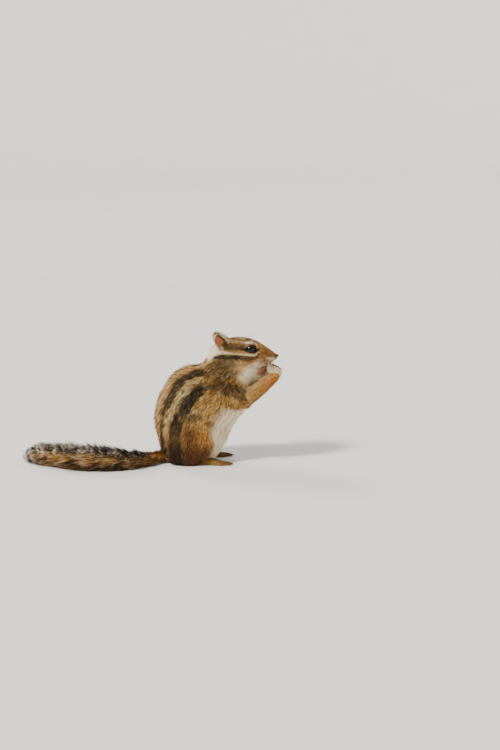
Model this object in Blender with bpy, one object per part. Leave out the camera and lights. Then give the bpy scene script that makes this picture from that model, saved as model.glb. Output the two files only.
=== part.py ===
"""A life-size chipmunk sitting up on its haunches, its forepaws at its mouth and its tail laid out behind.

All sizes are in millimetres until a mesh is made, and the meshes are in metres.
The animal faces +X, its right side is -Y, and the floor is z = 0.
"""

import math
import random

import bmesh
import bpy
import numpy as np
from mathutils import Matrix, Vector
from mathutils.bvhtree import BVHTree

MM = 0.001
GAP = 0.32
CUT = 0.36
RIGHT = -1
LEFT = 1

# Trunk sections, rump to nape: back x, back z, belly x, belly z, half width.
TRUNK_SECTIONS = (
    (-21.0, -4.0, 2.0, -4.0, 12.0),
    (-25.5, 2.5, 8.0, 2.5, 17.0),
    (-28.6, 11.5, 14.0, 9.0, 20.0),
    (-31.2, 22.5, 18.6, 16.5, 21.5),
    (-32.6, 33.0, 21.2, 22.5, 22.0),
    (-30.6, 44.0, 24.2, 28.5, 21.6),
    (-26.2, 54.5, 28.2, 34.0, 20.2),
    (-19.0, 64.6, 32.4, 39.0, 18.6),
    (-9.0, 70.4, 36.0, 44.0, 17.0),
    (1.6, 72.8, 39.0, 50.0, 15.2),
    (6.4, 78.6, 40.5, 56.0, 13.8),
    (8.4, 84.6, 40.0, 62.0, 12.6),
    (12.0, 87.5, 38.0, 68.0, 10.5),
)
# Head sections, occiput to nose: top x, top z, bottom x, bottom z, half width.
HEAD_SECTIONS = (
    (9.0, 84.5, 14.0, 66.0, 8.5),
    (12.5, 88.6, 18.5, 62.2, 12.0),
    (18.5, 91.4, 25.5, 60.6, 13.6),
    (25.5, 93.0, 32.5, 61.0, 13.6),
    (31.0, 93.2, 37.5, 61.8, 12.8),
    (36.5, 92.2, 41.8, 63.4, 11.6),
    (41.5, 90.4, 45.0, 65.6, 9.7),
    (46.0, 88.0, 48.0, 69.6, 7.6),
    (50.2, 85.2, 50.4, 73.2, 6.0),
    (53.8, 82.6, 53.6, 74.8, 4.7),
    (56.4, 80.6, 56.2, 76.2, 3.2),
    (57.8, 79.5, 57.6, 77.2, 1.8),
)
SECTION_FULLNESS = 0.88

JAW_CENTRE, JAW_RADII, JAW_TILT_DEG = (43.0, 0.0, 66.5), (8.5, 5.4, 5.0), -18.0
CHEEK_CENTRE, CHEEK_RADII = (33.0, 8.6, 69.5), (9.0, 5.6, 7.0)
WHISKER_PAD_CENTRE, WHISKER_PAD_RADII = (51.6, 3.2, 77.2), (4.4, 3.0, 3.0)

EYE_AIM, EYE_RADIUS, EYE_DEPTH = (40.5, 20.0, 87.8), 4.4, 2.9
EYE_LOOK = Vector((0.26, 1.0, 0.22)).normalized()
LID_THICKNESS = 0.8
LID_OPENING = (3.95, 3.0)
LID_TILT_DEG = -8.0

NOSTRIL_CENTRE, NOSTRIL_RADII = (57.5, 1.25, 78.3), (1.1, 0.55, 0.55)
MOUTH_CORNER, MOUTH_FRONT = (43.4, 71.3), (56.5, 72.6)
MOUTH_OPENING, MOUTH_DEPTH_HALF = 1.5, 6.0

EAR_BASE, EAR_TIP = (19.4, 10.6, 86.6), (11.4, 14.4, 96.4)
EAR_HALF_WIDTHS = (4.2, 4.9, 5.1, 4.8, 4.1, 2.4)
EAR_CUP, EAR_THICKNESS = 3.4, 0.9
FAR_EAR_LAID_BACK = Vector((-1.6, 0.0, -2.6))

HAUNCH_CENTRE, HAUNCH_RADII, HAUNCH_TILT_DEG = (-9.5, 16.0, 19.0), (19.0, 9.6, 19.2), 12.0
KNEE_CENTRE, KNEE_RADII = (2.0, 16.6, 20.0), (8.6, 6.6, 12.0)

SHOULDER, ELBOW, WRIST = (20.0, 12.0, 57.0), (31.6, 14.0, 46.6), (55.2, 6.9, 64.2)
SHOULDER_RADIUS, ELBOW_RADIUS, FOREARM_RADIUS, WRIST_RADIUS = 8.2, 5.8, 5.3, 3.5
PALM_TIP = (56.6, 5.0, 68.4)
PALM_SIZES = ((3.0, 2.4), (4.0, 2.3), (3.8, 1.8))
FINGER_LENGTH, FINGER_RADIUS, FINGER_CLAW = 4.6, 0.95, 1.7
FINGER_SPREAD = 3.3
FINGERS = 4
THUMB_PAD_SHIFT, THUMB_PAD_RADII = (-4.9, 1.0, 1.6), (2.6, 1.8, 4.6)

FOOT_HEEL, FOOT_BALL = (-10.0, 13.2), (13.8, 15.2)
TOE_LENGTHS = (6.0, 8.8, 9.8, 8.8, 5.6)
TOE_SPREAD_DEG = (-15.0, -6.0, 0.0, 6.5, 16.0)
TOE_RADIUS, TOE_CLAW = 1.25, 2.5
FOOT_HALF_WIDTH = 4.4

# Tail path, root to tip: x, y, height of the middle, core radius, reach of the hair.
TAIL_SECTIONS = (
    (-19.0, 0.0, 5.6, 4.2, 5.6),
    (-27.0, -6.5, 5.2, 3.8, 5.2),
    (-34.5, -14.5, 4.8, 3.4, 4.9),
    (-43.0, -23.0, 5.3, 3.4, 5.8),
    (-54.0, -30.5, 6.6, 3.7, 7.6),
    (-66.0, -34.5, 7.8, 4.0, 9.2),
    (-79.0, -34.5, 8.4, 4.1, 9.9),
    (-92.0, -30.0, 8.4, 3.8, 9.8),
    (-104.0, -22.5, 7.8, 3.0, 9.0),
    (-114.0, -15.0, 6.8, 2.2, 7.4),
    (-122.0, -9.0, 5.6, 1.4, 4.6),
    (-128.0, -5.0, 4.8, 0.9, 1.6),
)
TAIL_PARTINGS = (0.235, 0.49, 0.735)
TAIL_CORE_END = 0.90
TAIL_HAIR_START = 0.10
TAIL_SIDES = 10
LOCK_LENGTH, LOCK_WIDTH, LOCK_THICKNESS = 19.0, 6.0, 1.2
LOCK_ROW_STEP, LOCKS_ROUND = 8.8, 6
LOCK_STATIONS = (0.0, 0.38, 0.74, 1.0)
SEED = 7

BODY_VOXEL, BODY_SMOOTHING = 0.9, 7
CLEARANCE_TRIANGLES = 3200
NODE_TRIANGLES = {"head": 1550, "neck": 260, "torso": 1400}

# Cuts between the nodes of flesh, in the side view, and the regions that the limbs are cut out of.
HEAD_CUT = ((8.0, 84.5), (38.5, 58.5))
NECK_CUT = ((-3.0, 73.5), (41.0, 56.5))
HAUNCH_REGION = ((-6.5, 19.5, 19.0), (22.5, 14.5, 22.0), 8.0)
FORELEG_REGION = ((29.0, 17.6, 50.2), (13.0, 8.6, 9.4), 38.0)


def point(x, y, z):
    """A point given in millimetres, in metres."""
    return Vector((x, y, z)) * MM


def on_side(place, side):
    """A place measured on the left, moved to the side asked for."""
    return (place[0], place[1] * side, place[2])


def clear_scene():
    """Removes every object that the file opened with."""
    for old in list(bpy.data.objects):
        bpy.data.objects.remove(old, do_unlink=True)


def add_object(name, points, faces):
    """One mesh object made of points in metres and faces."""
    mesh = bpy.data.meshes.new(name)
    mesh.from_pydata([tuple(p) for p in points], [], faces)
    mesh.update()
    made = bpy.data.objects.new(name, mesh)
    bpy.context.scene.collection.objects.link(made)
    return made


def face_outwards(made):
    """Turns the faces of a closed mesh so that they all point out."""
    edit = bmesh.new()
    edit.from_mesh(made.data)
    bmesh.ops.recalc_face_normals(edit, faces=edit.faces)
    if edit.calc_volume(signed=True) < 0:
        bmesh.ops.reverse_faces(edit, faces=edit.faces)
    edit.to_mesh(made.data)
    edit.free()
    return made


def bake_modifiers(made):
    """Replaces an object's mesh by what its modifiers make of it."""
    graph = bpy.context.evaluated_depsgraph_get()
    mesh = bpy.data.meshes.new_from_object(made.evaluated_get(graph))
    old = made.data
    made.modifiers.clear()
    made.data = mesh
    bpy.data.meshes.remove(old)
    return made


def remove(*spent):
    """Deletes helper objects."""
    for one in spent:
        bpy.data.objects.remove(one, do_unlink=True)


def read_along(rows, per_span):
    """Rows of numbers read along a smooth curve through them."""
    table = np.array(rows, float)
    padded = np.vstack([2 * table[0] - table[1], table, 2 * table[-1] - table[-2]])
    read = []
    for i in range(len(table) - 1):
        before, start, end, after = padded[i : i + 4]
        for step in range(per_span):
            t = step / per_span
            read.append(
                0.5
                * (
                    2 * start
                    + (end - before) * t
                    + (2 * before - 5 * start + 4 * end - after) * t**2
                    + (3 * start - before - 3 * end + after) * t**3
                )
            )
    read.append(table[-1])
    return np.array(read)


def skin_rings(name, rings):
    """A closed mesh over rings of points, with a flat cap at each end."""
    count = len(rings[0])
    points = [p for ring in rings for p in ring]
    faces = []
    for i in range(len(rings) - 1):
        for j in range(count):
            k = (j + 1) % count
            faces.append((i * count + j, i * count + k, (i + 1) * count + k, (i + 1) * count + j))
    last = (len(rings) - 1) * count
    faces.append(tuple(reversed(range(count))))
    faces.append(tuple(last + j for j in range(count)))
    return face_outwards(add_object(name, points, faces))


def cone_mesh(name, rings, tip):
    """A closed mesh over rings of points that ends in one point."""
    count = len(rings[0])
    points = [p for ring in rings for p in ring] + [tip]
    faces = [tuple(range(count))]
    for i in range(len(rings) - 1):
        for j in range(count):
            k = (j + 1) % count
            faces.append((i * count + j, i * count + k, (i + 1) * count + k, (i + 1) * count + j))
    base = (len(rings) - 1) * count
    faces += [(base + j, base + (j + 1) % count, len(points) - 1) for j in range(count)]
    return face_outwards(add_object(name, points, faces))


def profile_loft(name, sections, per_span=4, sides=36):
    """A body whose sections run from a point on its back to a point on its belly."""
    rings = []
    for back_x, back_z, belly_x, belly_z, half_width in read_along(sections, per_span):
        middle = point((back_x + belly_x) / 2, 0, (back_z + belly_z) / 2)
        up = point((back_x - belly_x) / 2, 0, (back_z - belly_z) / 2)
        ring = []
        for j in range(sides):
            turn = 2 * math.pi * j / sides
            across = math.copysign(abs(math.cos(turn)) ** SECTION_FULLNESS, math.cos(turn))
            lift = math.copysign(abs(math.sin(turn)) ** SECTION_FULLNESS, math.sin(turn))
            ring.append(middle + up * lift + point(0, half_width * across, 0))
        rings.append(ring)
    return skin_rings(name, rings)


def tube(name, path, sizes, sides=10, per_span=3, up=Vector((0, 0, 1))):
    """A round-ended limb along a path, with a half width and a half height at each point."""
    rows = read_along([(*p, *s) for p, s in zip(path, sizes)], per_span)
    middles = [Vector(row[:3]) for row in rows]
    first, last = rows[0], rows[-1]
    start_way = (middles[0] - middles[1]).normalized()
    end_way = (middles[-1] - middles[-2]).normalized()
    stations = [(middles[0] + start_way * first[3] * 0.55, first[3] * 0.62, first[4] * 0.62)]
    stations += [(m, row[3], row[4]) for m, row in zip(middles, rows)]
    stations += [(middles[-1] + end_way * last[3] * 0.55, last[3] * 0.62, last[4] * 0.62)]
    rings = []
    for i, (middle, half_width, half_height) in enumerate(stations):
        before, after = stations[max(i - 1, 0)][0], stations[min(i + 1, len(stations) - 1)][0]
        along = (after - before).normalized()
        across = along.cross(up).normalized()
        lift = across.cross(along)
        ring = []
        for j in range(sides):
            turn = 2 * math.pi * (j + 0.5) / sides
            place = middle + across * half_width * math.cos(turn) + lift * half_height * math.sin(turn)
            ring.append(place * MM)
        rings.append(ring)
    return skin_rings(name, rings)


def ball(name, centre, radii, tilt_deg=0.0, rings=12, segments=20, look=None):
    """An ellipsoid, tilted nose down about Y, or with its Z axis along a look direction."""
    edit = bmesh.new()
    bmesh.ops.create_uvsphere(edit, u_segments=segments, v_segments=rings, radius=1.0)
    turn = Matrix.Rotation(math.radians(tilt_deg), 4, "Y")
    if look is not None:
        turn = look.to_track_quat("Z", "X").to_matrix().to_4x4()
    place = Matrix.Translation(point(*centre)) @ turn @ Matrix.Diagonal((*(r * MM for r in radii), 1.0))
    bmesh.ops.transform(edit, matrix=place, verts=edit.verts)
    mesh = bpy.data.meshes.new(name)
    edit.to_mesh(mesh)
    edit.free()
    made = bpy.data.objects.new(name, mesh)
    bpy.context.scene.collection.objects.link(made)
    return made


def join(name, pieces):
    """Puts several meshes in one object, without joining their surfaces."""
    edit = bmesh.new()
    for piece in pieces:
        edit.from_mesh(piece.data)
    mesh = bpy.data.meshes.new(name)
    edit.to_mesh(mesh)
    edit.free()
    remove(*pieces)
    made = bpy.data.objects.new(name, mesh)
    bpy.context.scene.collection.objects.link(made)
    return made


def keep_largest(made):
    """Drops all but the biggest closed surface of a mesh."""
    edit = bmesh.new()
    edit.from_mesh(made.data)
    unseen, islands = set(edit.verts), []
    while unseen:
        island, front = set(), [unseen.pop()]
        while front:
            vert = front.pop()
            island.add(vert)
            near = {edge.other_vert(vert) for edge in vert.link_edges} & unseen
            unseen -= near
            front += near
        islands.append(island)
    islands.sort(key=len)
    bmesh.ops.delete(edit, geom=[v for island in islands[:-1] for v in island], context="VERTS")
    bmesh.ops.triangulate(edit, faces=edit.faces)
    edit.to_mesh(made.data)
    edit.free()
    return made


def combine(made, others, operation, solver="EXACT"):
    """Applies one Boolean with a collection of closed meshes, and removes them."""
    group = bpy.data.collections.new("combine")
    for other in others:
        group.objects.link(other)
    boolean = made.modifiers.new("combine", "BOOLEAN")
    boolean.operation = operation
    boolean.operand_type = "COLLECTION"
    boolean.collection = group
    boolean.solver = solver
    bake_modifiers(made)
    bpy.data.collections.remove(group)
    remove(*others)
    return keep_largest(made)


def copy_of(made, name):
    """A second object with its own copy of the mesh."""
    twin = bpy.data.objects.new(name, made.data.copy())
    bpy.context.scene.collection.objects.link(twin)
    return twin


def grown(made, distance):
    """A copy whose surface stands out by a distance in millimetres, to cut a gap with."""
    cutter = copy_of(made, made.name + "_grown")
    swell = cutter.modifiers.new("swell", "DISPLACE")
    swell.strength = distance * MM
    swell.mid_level = 0.0
    return bake_modifiers(cutter)


def clear_of(made, neighbour):
    """Cuts a mesh back so that a gap is left round its neighbour."""
    return combine(made, [grown(neighbour, GAP)], "DIFFERENCE")


def melt(name, pieces, voxel, smoothing):
    """Joins overlapping closed meshes into one smooth surface."""
    made = join(name, pieces)
    remesh = made.modifiers.new("remesh", "REMESH")
    remesh.mode = "VOXEL"
    remesh.voxel_size = voxel * MM
    smooth = made.modifiers.new("smooth", "SMOOTH")
    smooth.factor = 0.5
    smooth.iterations = smoothing
    return keep_largest(bake_modifiers(made))


def thin_out(made, triangles):
    """Decimates a mesh to a number of triangles."""
    decimate = made.modifiers.new("thin", "DECIMATE")
    decimate.ratio = min(1.0, triangles / len(made.data.polygons))
    return keep_largest(bake_modifiers(made))


def slab_above(name, first, second, offset):
    """A big block on the upper side of a line in the side view, moved off it by an offset."""
    along = Vector((second[0] - first[0], 0, second[1] - first[1])).normalized()
    above = Vector((-along.z, 0, along.x))
    if above.z < 0:
        above.negate()
    size = 90.0
    middle = Vector(((first[0] + second[0]) / 2, 0, (first[1] + second[1]) / 2))
    corners = []
    for lift in (offset, offset + size):
        for run in (-size, size):
            for across in (-size, size):
                corners.append((middle + along * run + above * lift + Vector((0, across, 0))) * MM)
    faces = [(0, 1, 3, 2), (4, 6, 7, 5), (0, 4, 5, 1), (2, 3, 7, 6), (0, 2, 6, 4), (1, 5, 7, 3)]
    return face_outwards(add_object(name, corners, faces))


def box(name, low, high):
    """A plain block between two corners."""
    corners = [point(x, y, z) for x in (low[0], high[0]) for y in (low[1], high[1]) for z in (low[2], high[2])]
    faces = [(0, 1, 3, 2), (4, 6, 7, 5), (0, 4, 5, 1), (2, 3, 7, 6), (0, 2, 6, 4), (1, 5, 7, 3)]
    return face_outwards(add_object(name, corners, faces))


def rest_on_floor(made):
    """Puts the points that thinning out left a hair off the floor back on it."""
    for vert in made.data.vertices:
        if abs(vert.co.z) < 0.05 * MM:
            vert.co.z = 0.0


def cut_at_floor(made):
    """Takes off what is under the floor, which leaves small flats to rest on."""
    return combine(made, [box("under", (-200, -100, -60), (120, 100, 0.0))], "DIFFERENCE")


def flesh():
    """Trunk, head, haunches and upper forelegs as one smooth body."""
    pieces = [
        profile_loft("trunk", TRUNK_SECTIONS),
        profile_loft("skull", HEAD_SECTIONS),
        ball("jaw", JAW_CENTRE, JAW_RADII, JAW_TILT_DEG),
    ]
    for side in (RIGHT, LEFT):
        shoulder, elbow = on_side(SHOULDER, side), on_side(ELBOW, side)
        middle = tuple((a + b) / 2 for a, b in zip(shoulder, elbow))
        radii = (SHOULDER_RADIUS, (SHOULDER_RADIUS + ELBOW_RADIUS) / 2, ELBOW_RADIUS)
        pieces += [
            ball("cheek", on_side(CHEEK_CENTRE, side), CHEEK_RADII),
            ball("whisker_pad", on_side(WHISKER_PAD_CENTRE, side), WHISKER_PAD_RADII),
            ball("haunch", on_side(HAUNCH_CENTRE, side), HAUNCH_RADII, HAUNCH_TILT_DEG, 20, 32),
            ball("knee", on_side(KNEE_CENTRE, side), KNEE_RADII, -18.0, 16, 24),
            tube("arm", (shoulder, middle, elbow), [(r, r) for r in radii], 16),
        ]
    return melt("body", pieces, BODY_VOXEL, BODY_SMOOTHING)


def skin_hit(body, aim, way):
    """Where a line from an aim point, along a way, first meets the skin."""
    tree = BVHTree.FromObject(body, bpy.context.evaluated_depsgraph_get())
    hit = tree.ray_cast(Vector(aim) * MM, Vector(way).normalized())[0]
    return hit / MM


def eye_centre(body, side):
    """The middle of an eyeball, set a named depth under the skin."""
    look = Vector(on_side(EYE_LOOK, side))
    return skin_hit(body, on_side(EYE_AIM, side), -look) - look * EYE_DEPTH


def cut_face(head, eyes):
    """Sockets with lids, nostrils and the line of the mouth."""
    lids, cutters = [], [mouth_wedge()]
    for side in (RIGHT, LEFT):
        look = Vector(on_side(EYE_LOOK, side))
        socket, lid = EYE_RADIUS + GAP, EYE_RADIUS + GAP + LID_THICKNESS
        lids.append(ball("lid", eyes[side], (lid,) * 3, look=look, rings=10, segments=18))
        cutters.append(ball("socket", eyes[side], (socket,) * 3, look=look, rings=10, segments=18))
        cutters.append(lid_opening(eyes[side], side, look))
        cutters.append(ball("nostril", on_side(NOSTRIL_CENTRE, side), NOSTRIL_RADII, 20.0, 6, 10))
    combine(head, lids, "UNION")
    return combine(head, cutters, "DIFFERENCE")


def lid_opening(centre, side, look):
    """An oval prism from the eye outwards, which opens the lids."""
    across = Vector((0, 0, 1)).cross(look).normalized() * side
    across = Matrix.Rotation(math.radians(LID_TILT_DEG) * side, 3, look) @ across
    lift = look.cross(across).normalized()
    rings = []
    for reach, share in ((EYE_RADIUS * 0.5, 0.9), (EYE_RADIUS + 4.0, 1.12)):
        ring = []
        for j in range(16):
            turn = 2 * math.pi * j / 16
            offset = across * LID_OPENING[0] * math.cos(turn) + lift * LID_OPENING[1] * math.sin(turn)
            ring.append((centre + look * reach + offset * share) * MM)
        rings.append(ring)
    return skin_rings("opening", rings)


def mouth_wedge():
    """A thin wedge that parts the lips, open at the front and closed at the corner."""
    rings = []
    corner, front = Vector((MOUTH_CORNER[0], 0, MOUTH_CORNER[1])), Vector((MOUTH_FRONT[0], 0, MOUTH_FRONT[1]))
    for share in (0.0, 0.33, 0.66, 1.0):
        middle = corner.lerp(front, share) + Vector((0, 0, -1.2 * math.sin(math.pi * share) * share))
        half_open = 0.18 + MOUTH_OPENING / 2 * share
        ring = []
        for across, lift in ((-1, 1), (1, 1), (1, -1), (-1, -1)):
            ring.append((middle + Vector((0, across * MOUTH_DEPTH_HALF, lift * half_open))) * MM)
        rings.append(ring)
    return skin_rings("mouth", rings)


def eyeball(side, centre):
    """One round eye, sunk in its socket."""
    look = Vector(on_side(EYE_LOOK, side))
    return ball("eye_" + side_name(side), centre, (EYE_RADIUS,) * 3, rings=10, segments=16, look=look)


def side_name(side):
    """The word for a side."""
    return "right" if side == RIGHT else "left"


def ear(side, head):
    """A thin cup, open to the side and front, with its root on the head."""
    base, tip = Vector(on_side(EAR_BASE, side)), Vector(on_side(EAR_TIP, side))
    tip += FAR_EAR_LAID_BACK if side == LEFT else Vector((0, 0, 0))
    rise = tip - base
    along = rise.normalized()
    outward = Vector((0.6, side * 1.0, 0.2))
    outward = (outward - along * outward.dot(along)).normalized()
    across = along.cross(outward).normalized()
    rows, columns = len(EAR_HALF_WIDTHS), 9
    points = []
    for i, half_width in enumerate(EAR_HALF_WIDTHS):
        t = i / (rows - 1)
        cup = EAR_CUP * (0.15 + 1.6 * t - 1.3 * t * t) * half_width / max(EAR_HALF_WIDTHS)
        height = rise.length * (t - 0.3 * (1 - t))
        for j in range(columns):
            u = 2 * j / (columns - 1) - 1
            place = base + along * height + across * half_width * math.sin(u * math.pi / 2 * 0.98)
            place += outward * cup * (u * u - 0.55) - along * 0.9 * u * u * t
            points.append(place * MM)
    faces = []
    for i in range(rows - 1):
        for j in range(columns - 1):
            a = i * columns + j
            faces.append((a, a + 1, a + columns + 1, a + columns))
    made = add_object("ear_" + side_name(side), points, faces)
    shell = made.modifiers.new("shell", "SOLIDIFY")
    shell.thickness = EAR_THICKNESS * MM
    shell.offset = 0.0
    bake_modifiers(made)
    face_outwards(made)
    return clear_of(made, head)


def claw(start, way, droop, radius, length):
    """A small curved claw that tapers to a point."""
    across = way.cross(Vector((0, 0.3, 1.0))).normalized()
    lift = across.cross(way)
    rings = []
    for t, share in ((-0.35, 1.0), (0.5, 0.75)):
        middle = start + way * length * t + droop * length * 0.35 * t * abs(t)
        turns = [2 * math.pi * j / 5 for j in range(5)]
        ring = [middle + (across * math.cos(a) + lift * math.sin(a)) * radius * share for a in turns]
        rings.append([place * MM for place in ring])
    return cone_mesh("claw", rings, (start + way * length + droop * length * 0.35) * MM)


def forearm(side, body):
    """The foreleg from elbow to wrist."""
    elbow, wrist = Vector(on_side(ELBOW, side)), Vector(on_side(WRIST, side))
    middle = elbow.lerp(wrist, 0.5) + Vector((0.2, 0, 0.4))
    radii = (ELBOW_RADIUS * 0.93, FOREARM_RADIUS, WRIST_RADIUS)
    made = tube("forearm_" + side_name(side), (elbow, middle, wrist), [(r, r) for r in radii], 14, 3)
    return clear_of(made, body)


def forepaw(side, arm):
    """The hand: a small palm, four bent fingers with claws, and the pad of the thumb."""
    wrist, palm_tip = Vector(on_side(WRIST, side)), Vector(on_side(PALM_TIP, side))
    start = wrist.lerp(palm_tip, 0.1)
    inward = Vector((-0.2, -side, 0)).normalized()
    made = tube("forepaw_" + side_name(side), (start, start.lerp(palm_tip, 0.55), palm_tip),
                PALM_SIZES, 10, 2, up=inward)
    along = (palm_tip - wrist).normalized()
    spread_way = along.cross(inward).normalized()
    fingers = []
    for i in range(FINGERS):
        spread = (i / (FINGERS - 1) - 0.5) * 2
        root = palm_tip + spread_way * spread * FINGER_SPREAD - along * (0.9 + 0.5 * abs(spread))
        length = FINGER_LENGTH * (1.0 - 0.12 * abs(spread))
        curl = Vector((-0.75, -side * 0.35, 0.25))
        middle = root + along * length * 0.55 + spread_way * spread * 0.35
        end = middle + (along * 0.45 + curl * 0.75).normalized() * length * 0.55
        radii = [(FINGER_RADIUS * s, FINGER_RADIUS * s) for s in (1.05, 1.0, 0.9)]
        fingers.append(tube("finger", (root, middle, end), radii, 6, 1, up=inward))
        fingers.append(claw(end, (end - middle).normalized(), curl, 0.5, FINGER_CLAW))
    thumb_pad = palm_tip + Vector(on_side(THUMB_PAD_SHIFT, side))
    fingers.append(ball("thumb_pad", thumb_pad, THUMB_PAD_RADII, 0.0, 6, 8))
    combine(made, fingers, "UNION")
    return clear_of(made, arm)


def hind_foot(side, body):
    """The long hind foot flat on the floor, with five toes and claws."""
    heel, front = Vector((*FOOT_HEEL, 0)), Vector((*FOOT_BALL, 0))
    heel.y *= side
    front.y *= side
    along = (front - heel).normalized()
    across = Vector((0, 0, 1)).cross(along) * side
    path = [heel.lerp(front, t) + Vector((0, 0, z)) for t, z in
            ((0.0, 2.6), (0.3, 3.1), (0.6, 2.8), (0.85, 2.2), (1.0, 1.8))]
    sizes = ((3.0, 2.9), (3.3, 3.6), (3.7, 3.1), (4.2, 2.4), (3.9, 1.9))
    made = tube("hind_foot_" + side_name(side), path, sizes, 12, 2)
    toes = []
    for i, (length, spread) in enumerate(zip(TOE_LENGTHS, TOE_SPREAD_DEG)):
        way = Matrix.Rotation(math.radians(spread) * side, 3, "Z") @ along
        shift = (i - 2) / 2 * (FOOT_HALF_WIDTH - TOE_RADIUS * 0.9)
        root = front + across * shift - along * (1.5 + 1.7 * abs((i - 2) / 2) ** 2)
        heights = ((0.0, 1.5), (0.4, 1.8), (1.0, 1.0))
        toe = [root + way * length * t + Vector((0, 0, z)) for t, z in heights]
        radii = [(TOE_RADIUS * s, TOE_RADIUS * s) for s in (1.0, 0.95, 0.95)]
        toes.append(tube("toe", toe, radii, 6, 1))
        toes.append(claw(toe[-1] + way * 0.5 + Vector((0, 0, 0.25)), way, Vector((0, 0, -0.6)), 0.55, TOE_CLAW))
    combine(made, toes, "UNION")
    clear_of(made, body)
    return cut_at_floor(made)


class TailPath:
    """The middle of the tail, read by its share of the way from root to tip."""

    def __init__(self):
        self.rows = read_along(TAIL_SECTIONS, 8)
        steps = np.linalg.norm(np.diff(self.rows[:, :3], axis=0), axis=1)
        self.length = float(steps.sum())
        self.shares = np.concatenate([[0.0], np.cumsum(steps)]) / self.length

    def read(self, share):
        """Middle, core radius and reach at a share, run on straight past both ends."""
        held = min(max(share, 0.0), 1.0)
        row = np.array([np.interp(held, self.shares, column) for column in self.rows.T])
        ahead = np.array([np.interp(min(held + 0.01, 1.0), self.shares, c) for c in self.rows.T])
        behind = np.array([np.interp(max(held - 0.01, 0.0), self.shares, c) for c in self.rows.T])
        along = Vector(ahead[:3] - behind[:3]).normalized()
        middle = Vector(row[:3]) + along * (share - held) * self.length
        return middle, along, row[3], row[4]

    def round_place(self, share, turn, radius):
        """A place round the tail, pressed flat where it would go under the floor."""
        middle, along, _, reach = self.read(share)
        across = along.cross(Vector((0, 0, 1))).normalized()
        lift = across.cross(along)
        height = math.sin(turn) * radius
        if height < 0:
            height *= min(1.0, (middle.z - 0.75) / max(reach, 0.1))
        return middle + across * math.cos(turn) * radius + lift * height


def lock_rise(t):
    """How far out a hair has come, as a share of its reach, at a share of its length."""
    return 1.0 - (1.0 - t) ** 1.7


def tail_tube(path, start, end):
    """A closed length of the tail's core."""
    rings = []
    count = max(3, round((end - start) * 18))
    for i in range(count + 1):
        share = start + (end - start) * i / count
        radius = path.read(share)[2]
        turns = (2 * math.pi * j / TAIL_SIDES for j in range(TAIL_SIDES))
        rings.append([path.round_place(share, turn, radius) * MM for turn in turns])
    return skin_rings("length", rings)


def tail_bell(path, share, growth):
    """What lies beyond a parting: a bell that opens along the lie of the hair, then runs past the tip."""
    rings = []
    shift = -growth / path.length
    for t in (-0.02, 0.0, 0.25, 0.5, 0.75, 1.0, 1.3):
        at = share + shift + max(t, 0.0) * LOCK_LENGTH * 0.92 / path.length
        _, _, core, reach = path.read(at)
        radius = core * 0.2 if t < 0 else core * 0.8 + (reach + 1.5 - core * 0.8) * lock_rise(min(t, 1.0))
        radius += growth * 0.5 + max(t - 1.0, 0.0) * 30.0
        rings.append((at, radius))
    steps = 10
    last = rings[-1][0]
    rings += [(last + (1.25 - last) * (i + 1) / steps, 20.0) for i in range(steps)]
    turns = [2 * math.pi * j / TAIL_SIDES for j in range(TAIL_SIDES)]
    return skin_rings("bell", [[bell_place(path, at, turn, radius) for turn in turns] for at, radius in rings])


def bell_place(path, share, turn, radius):
    """A place round the tail that isn't pressed by the floor."""
    middle, along, _, _ = path.read(share)
    across = along.cross(Vector((0, 0, 1))).normalized()
    lift = across.cross(along)
    return (middle + across * math.cos(turn) * radius + lift * math.sin(turn) * radius) * MM


def tail_lock(path, share, turn, draw):
    """A flat tapered lock of hair, rooted in the core and lying back along the tail."""
    length = LOCK_LENGTH * draw.uniform(0.86, 1.1) / path.length
    lean = draw.uniform(-0.12, 0.12)
    stretch = draw.uniform(0.88, 1.05)
    core = path.read(share)[2]
    rings = []
    for t in LOCK_STATIONS[:-1]:
        at = share + length * t * 0.92
        reach = path.read(at)[3] * stretch
        radius = core * 0.5 + (reach - core * 0.5) * lock_rise(t)
        angle = turn + lean * t
        half_width = LOCK_WIDTH / 2 * (1.0 - 0.75 * t**1.6)
        half_thickness = LOCK_THICKNESS / 2 * (1.0 - 0.5 * t)
        middle = path.round_place(at, angle, radius)
        outward = (path.round_place(at, angle, radius + 1.0) - middle).normalized()
        along = (path.round_place(at + 0.01, angle, radius) - path.round_place(at - 0.01, angle, radius)).normalized()
        across = along.cross(outward).normalized()
        outward = across.cross(along)
        sides = ((across, half_width), (outward, half_thickness), (across, -half_width), (outward, -half_thickness))
        ring = [middle + way * size for way, size in sides]
        rings.append([Vector((p.x, p.y, max(p.z, 0.12 + 0.1 * (i == 1)))) * MM for i, p in enumerate(ring)])
    at = share + length * 0.92
    tip = path.round_place(at, turn + lean, path.read(at)[3] * stretch)
    return cone_mesh("lock", rings, Vector((tip.x, tip.y, max(tip.z, 0.2))) * MM)


def tail_locks(path, start, end, draw):
    """Rows of locks round one length of the tail, each row turned half a step."""
    locks = []
    row_step = LOCK_ROW_STEP / path.length
    first = int(math.ceil((max(start, TAIL_HAIR_START) - TAIL_HAIR_START) / row_step + 0.001))
    last = int(math.floor((min(end, TAIL_CORE_END) - TAIL_HAIR_START) / row_step))
    for row in range(first, last + 1):
        share = TAIL_HAIR_START + row * row_step
        for j in range(LOCKS_ROUND):
            turn = 2 * math.pi * (j + 0.5 * (row % 2) + draw.uniform(-0.12, 0.12)) / LOCKS_ROUND
            locks.append(tail_lock(path, share + draw.uniform(-0.1, 0.1) * row_step, turn, draw))
    return locks


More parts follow.
